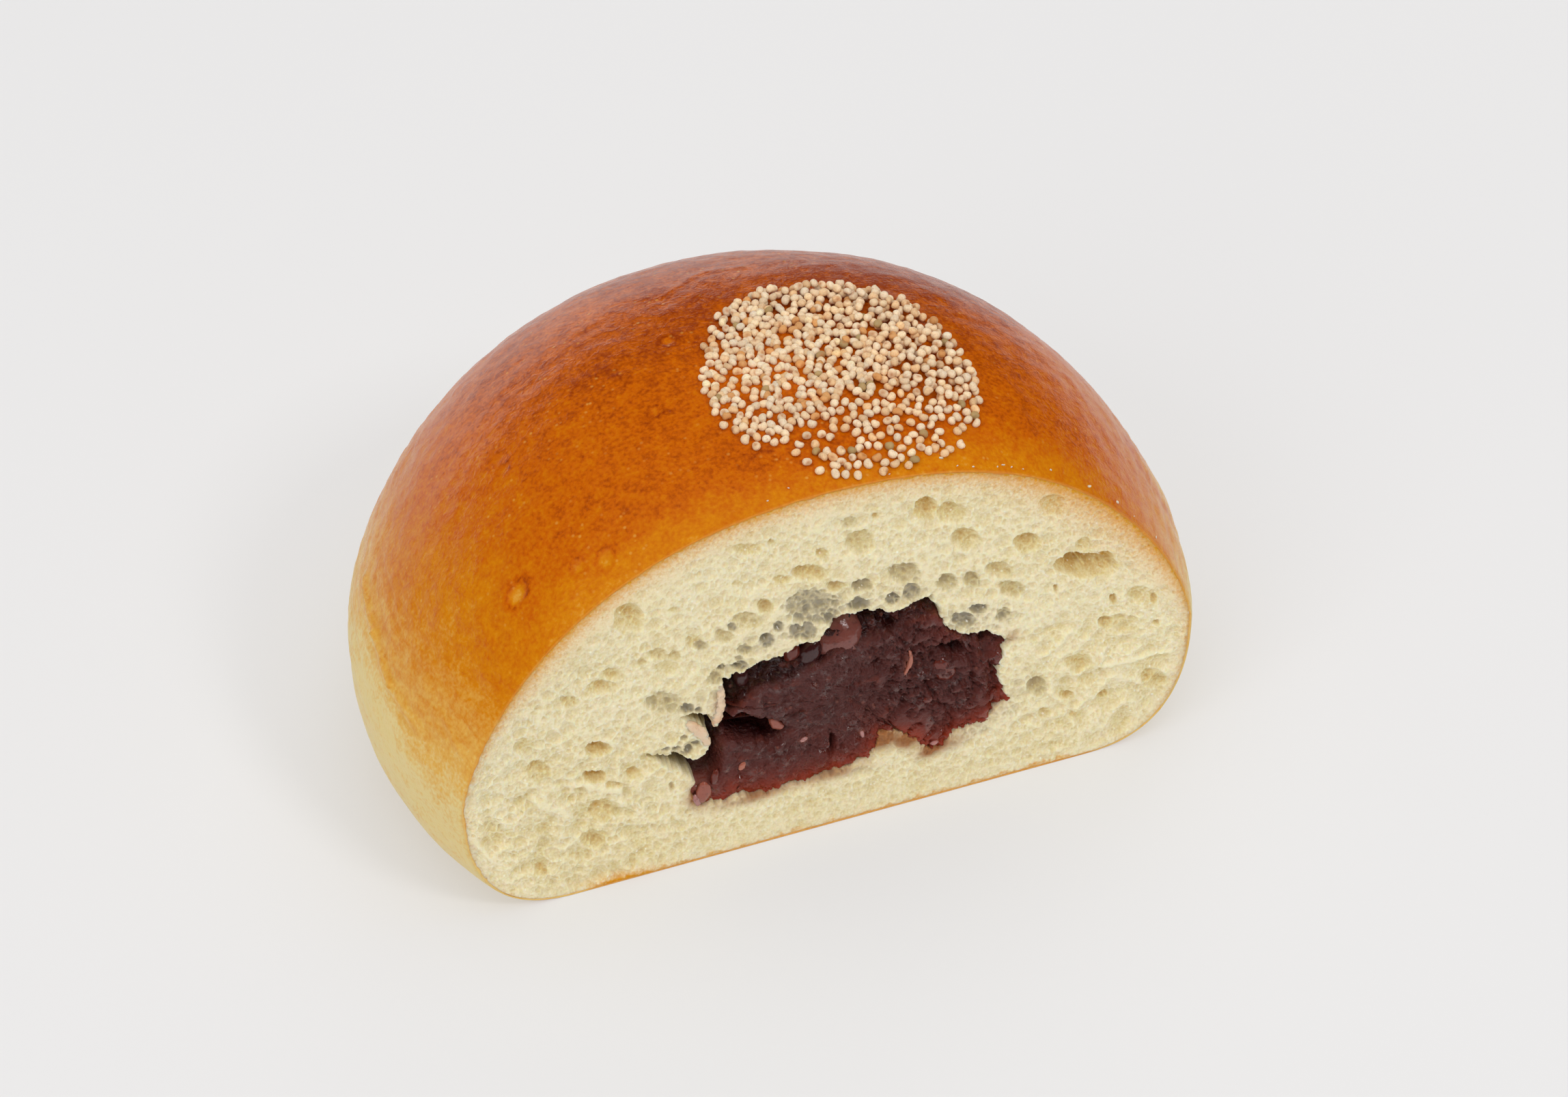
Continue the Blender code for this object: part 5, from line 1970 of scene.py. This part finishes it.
    def build(self) -> bpy.types.Object:
        """Makes every seed of the patch in one mesh, each turned at random and seated on the crust."""
        spots, layers = self.places()
        count = len(spots)
        draw = np.random.default_rng(29)
        shape, faces, dimple = self.one_seed()
        x, depth = spots[:, 0], spots[:, 1]
        up = self.upright(x, depth)
        axis_x, axis_y, axis_z = self.axes(up, layers, draw)
        size = self.length / 2 * draw.normal(1.0, 0.07, (count, 1, 3))
        roll = draw.uniform(-1.3, 1.3, count)[:, None]
        side = axis_y * np.cos(roll) + axis_z * np.sin(roll)
        rise = axis_z * np.cos(roll) - axis_y * np.sin(roll)
        frame = np.stack([axis_x, side, rise], axis=1)
        raised = self.seat + self.layer_height * layers[:, None]
        seat = np.stack([x, depth, self.form.top(x, depth)], axis=1) + up * raised
        points = np.einsum("skc,scd->skd", shape[None] * size, frame) + seat[:, None, :]
        over = np.maximum(points[..., 2].max(axis=1) - self.ceiling, 0.0)
        points[..., 2] -= over[:, None]
        tint = np.repeat(self.tints(count, draw), len(shape), axis=0)
        tint = np.concatenate([tint, np.ones((len(tint), 1))], axis=1)
        marked = draw.random(count) < self.dimpled
        values = {"tint": tint, "dimple": (dimple[None] * marked[:, None] * 0.8).reshape(-1)}
        total = repeated(faces, count, len(shape))
        piece = make_piece("poppy_seeds", self.form.placed(points), total, self.finish.made(), values)
        LOG.info("%d seeds", count)
        return belongs(piece, BUN_NODE)


@dataclass(frozen=True)
class SoftBox:
    """A square soft lamp.

    Attributes:
        place: Its middle in metres.
        side: Side of its square in metres.
        power: Power in watts.
        mirrored: Whether glossy skins show it.
    """

    place: Triple
    side: float
    power: float
    mirrored: bool = True


class Lamp(Enum):
    """The studio's soft lamps."""

    KEY = SoftBox((0.42, -0.85, 0.98), 0.28, 3.6)
    FILL = SoftBox((-0.95, -0.80, 0.80), 0.8, 4.0, False)
    GLANCE = SoftBox((-0.90, -0.30, 0.85), 0.30, 0.5)
    OVERHEAD = SoftBox((-0.05, -0.10, 1.2), 1.6, 6.2, False)
    BACK = SoftBox((0.6, 0.9, 0.8), 0.9, 1.9, False)


@dataclass
class Studio:
    """Pale table with a low sweep behind it, soft surround, soft lamps and the camera.

    Floor, sweep and aim are in metres. The camera's place is in millimetres from the bottom of the cut's
    middle, its angles are in degrees, and its lens and sensor are in millimetres.
    """

    form: Form
    floor_colour: Colour = (0.46, 0.454, 0.455)
    floor_glow: float = 0.37
    sweep_glow: float = 1.2
    floor_low: tuple[float, float] = (-1.3, -1.3)
    floor_high: tuple[float, float] = (0.5, 1.1)
    sweep_height: float = 0.30
    sweep_steps: int = 12
    world_colour: Colour = (1.0, 0.99, 0.975)
    world_strength: float = 0.42
    azimuth: float = -20.41
    elevation: float = 40.95
    roll: float = -0.849
    focal: float = 119.1
    sensor: float = 36.0
    camera_place: Triple = (-152.284, -394.068, 407.771)
    aim: Triple = (0.0, 0.0, 0.02)

    def board(self, name: str, y: np.ndarray, z: np.ndarray, glow: float) -> None:
        """A pale matt board of the stage, level from left to right.

        Args:
            name: Its name.
            y: Places of its lines from front to back, in metres.
            z: Their heights.
            glow: Light that it gives off.
        """
        paint = Paint(name)
        material = paint.drive(
            Base_Color=self.floor_colour,
            Roughness=0.9,
            Specular_IOR_Level=0.1,
            Emission_Color=(1.0, 1.0, 1.0),
            Emission_Strength=glow,
        )
        left = np.stack([np.full(y.shape, self.floor_low[0]), y, z], axis=-1)
        right = np.stack([np.full(y.shape, self.floor_high[0]), y, z], axis=-1)
        points = np.stack([left, right], axis=1).reshape(-1, 3)
        make_piece(name, points, grid_quads(len(y), 2, closed=False), material)

    def floor(self) -> None:
        """A flat table, and a low sweep that bends up behind it in a quarter round."""
        near, far = self.floor_low[1], self.floor_high[1]
        self.board("table", np.array([near, far]), np.zeros(2), self.floor_glow)
        bend = np.linspace(0.0, math.pi / 2, self.sweep_steps)
        y = far + self.sweep_height * np.sin(bend)
        self.board("sweep", y, self.sweep_height * (1.0 - np.cos(bend)), self.sweep_glow)

    def lamps(self) -> None:
        """Soft lamps that look at the bun."""
        for lamp in Lamp:
            box = lamp.value
            light = bpy.data.lights.new(lamp.name.lower(), "AREA")
            light.shape = "SQUARE"
            light.size = box.side
            light.energy = box.power
            holder = bpy.data.objects.new(lamp.name.lower(), light)
            holder.location = box.place
            gaze = Vector(self.aim) - Vector(box.place)
            holder.rotation_euler = gaze.to_track_quat("-Z", "Y").to_euler()
            holder.visible_glossy = box.mirrored
            bpy.context.scene.collection.objects.link(holder)

    def surround(self) -> None:
        """An even pale surround that glossy skins do not show, and plain colour output."""
        scene = bpy.context.scene
        scene.world = bpy.data.worlds.new("surround")
        scene.world.use_nodes = True
        shade = scene.world.node_tree.nodes["Background"]
        shade.inputs["Color"].default_value = (*self.world_colour, 1.0)
        shade.inputs["Strength"].default_value = self.world_strength
        scene.world.cycles_visibility.glossy = False
        scene.view_settings.view_transform = "Standard"

    def camera(self) -> None:
        """A long lens at the photograph's viewing angle."""
        scene = bpy.context.scene
        lens = bpy.data.cameras.new("camera")
        lens.lens = self.focal
        lens.sensor_width = self.sensor
        a, e, r = (math.radians(v) for v in (self.azimuth, self.elevation, self.roll))
        back = Vector((math.sin(a) * math.cos(e), -math.cos(a) * math.cos(e), math.sin(e)))
        right = Vector((math.cos(a), math.sin(a), 0.0))
        up = back.cross(right)
        level = math.cos(r) * right + math.sin(r) * up
        top = math.cos(r) * up - math.sin(r) * right
        place = Vector(self.form.placed(np.array([self.camera_place]))[0])
        camera = bpy.data.objects.new("camera", lens)
        camera.matrix_world = Matrix.Translation(place) @ Matrix((level, top, back)).transposed().to_4x4()
        scene.collection.objects.link(camera)
        scene.camera = camera

    def build(self) -> None:
        """Sets up the whole studio."""
        self.floor()
        self.lamps()
        self.surround()
        self.camera()


def main() -> None:
    """Loads the frame, builds every piece around it and sets up the studio."""
    logging.basicConfig(level=logging.INFO, format="%(name)s: %(message)s")
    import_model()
    form = Form()
    pocket = Pocket()
    paste = Paste(form, pocket)
    Studio(form).build()
    for name, maker in (
        ("crust", Crust(form)),
        ("crumb", Crumb(form, pocket)),
        ("paste", paste),
        ("beans", Beans(form, paste)),
        ("tongue", Tongue(form)),
        ("flecks", Flecks(form)),
        ("seeds", Seeds(form)),
    ):
        made = maker.build()
        LOG.info("%s: %d faces", name, len(made.data.polygons))


if __name__ == "__main__":
    main()
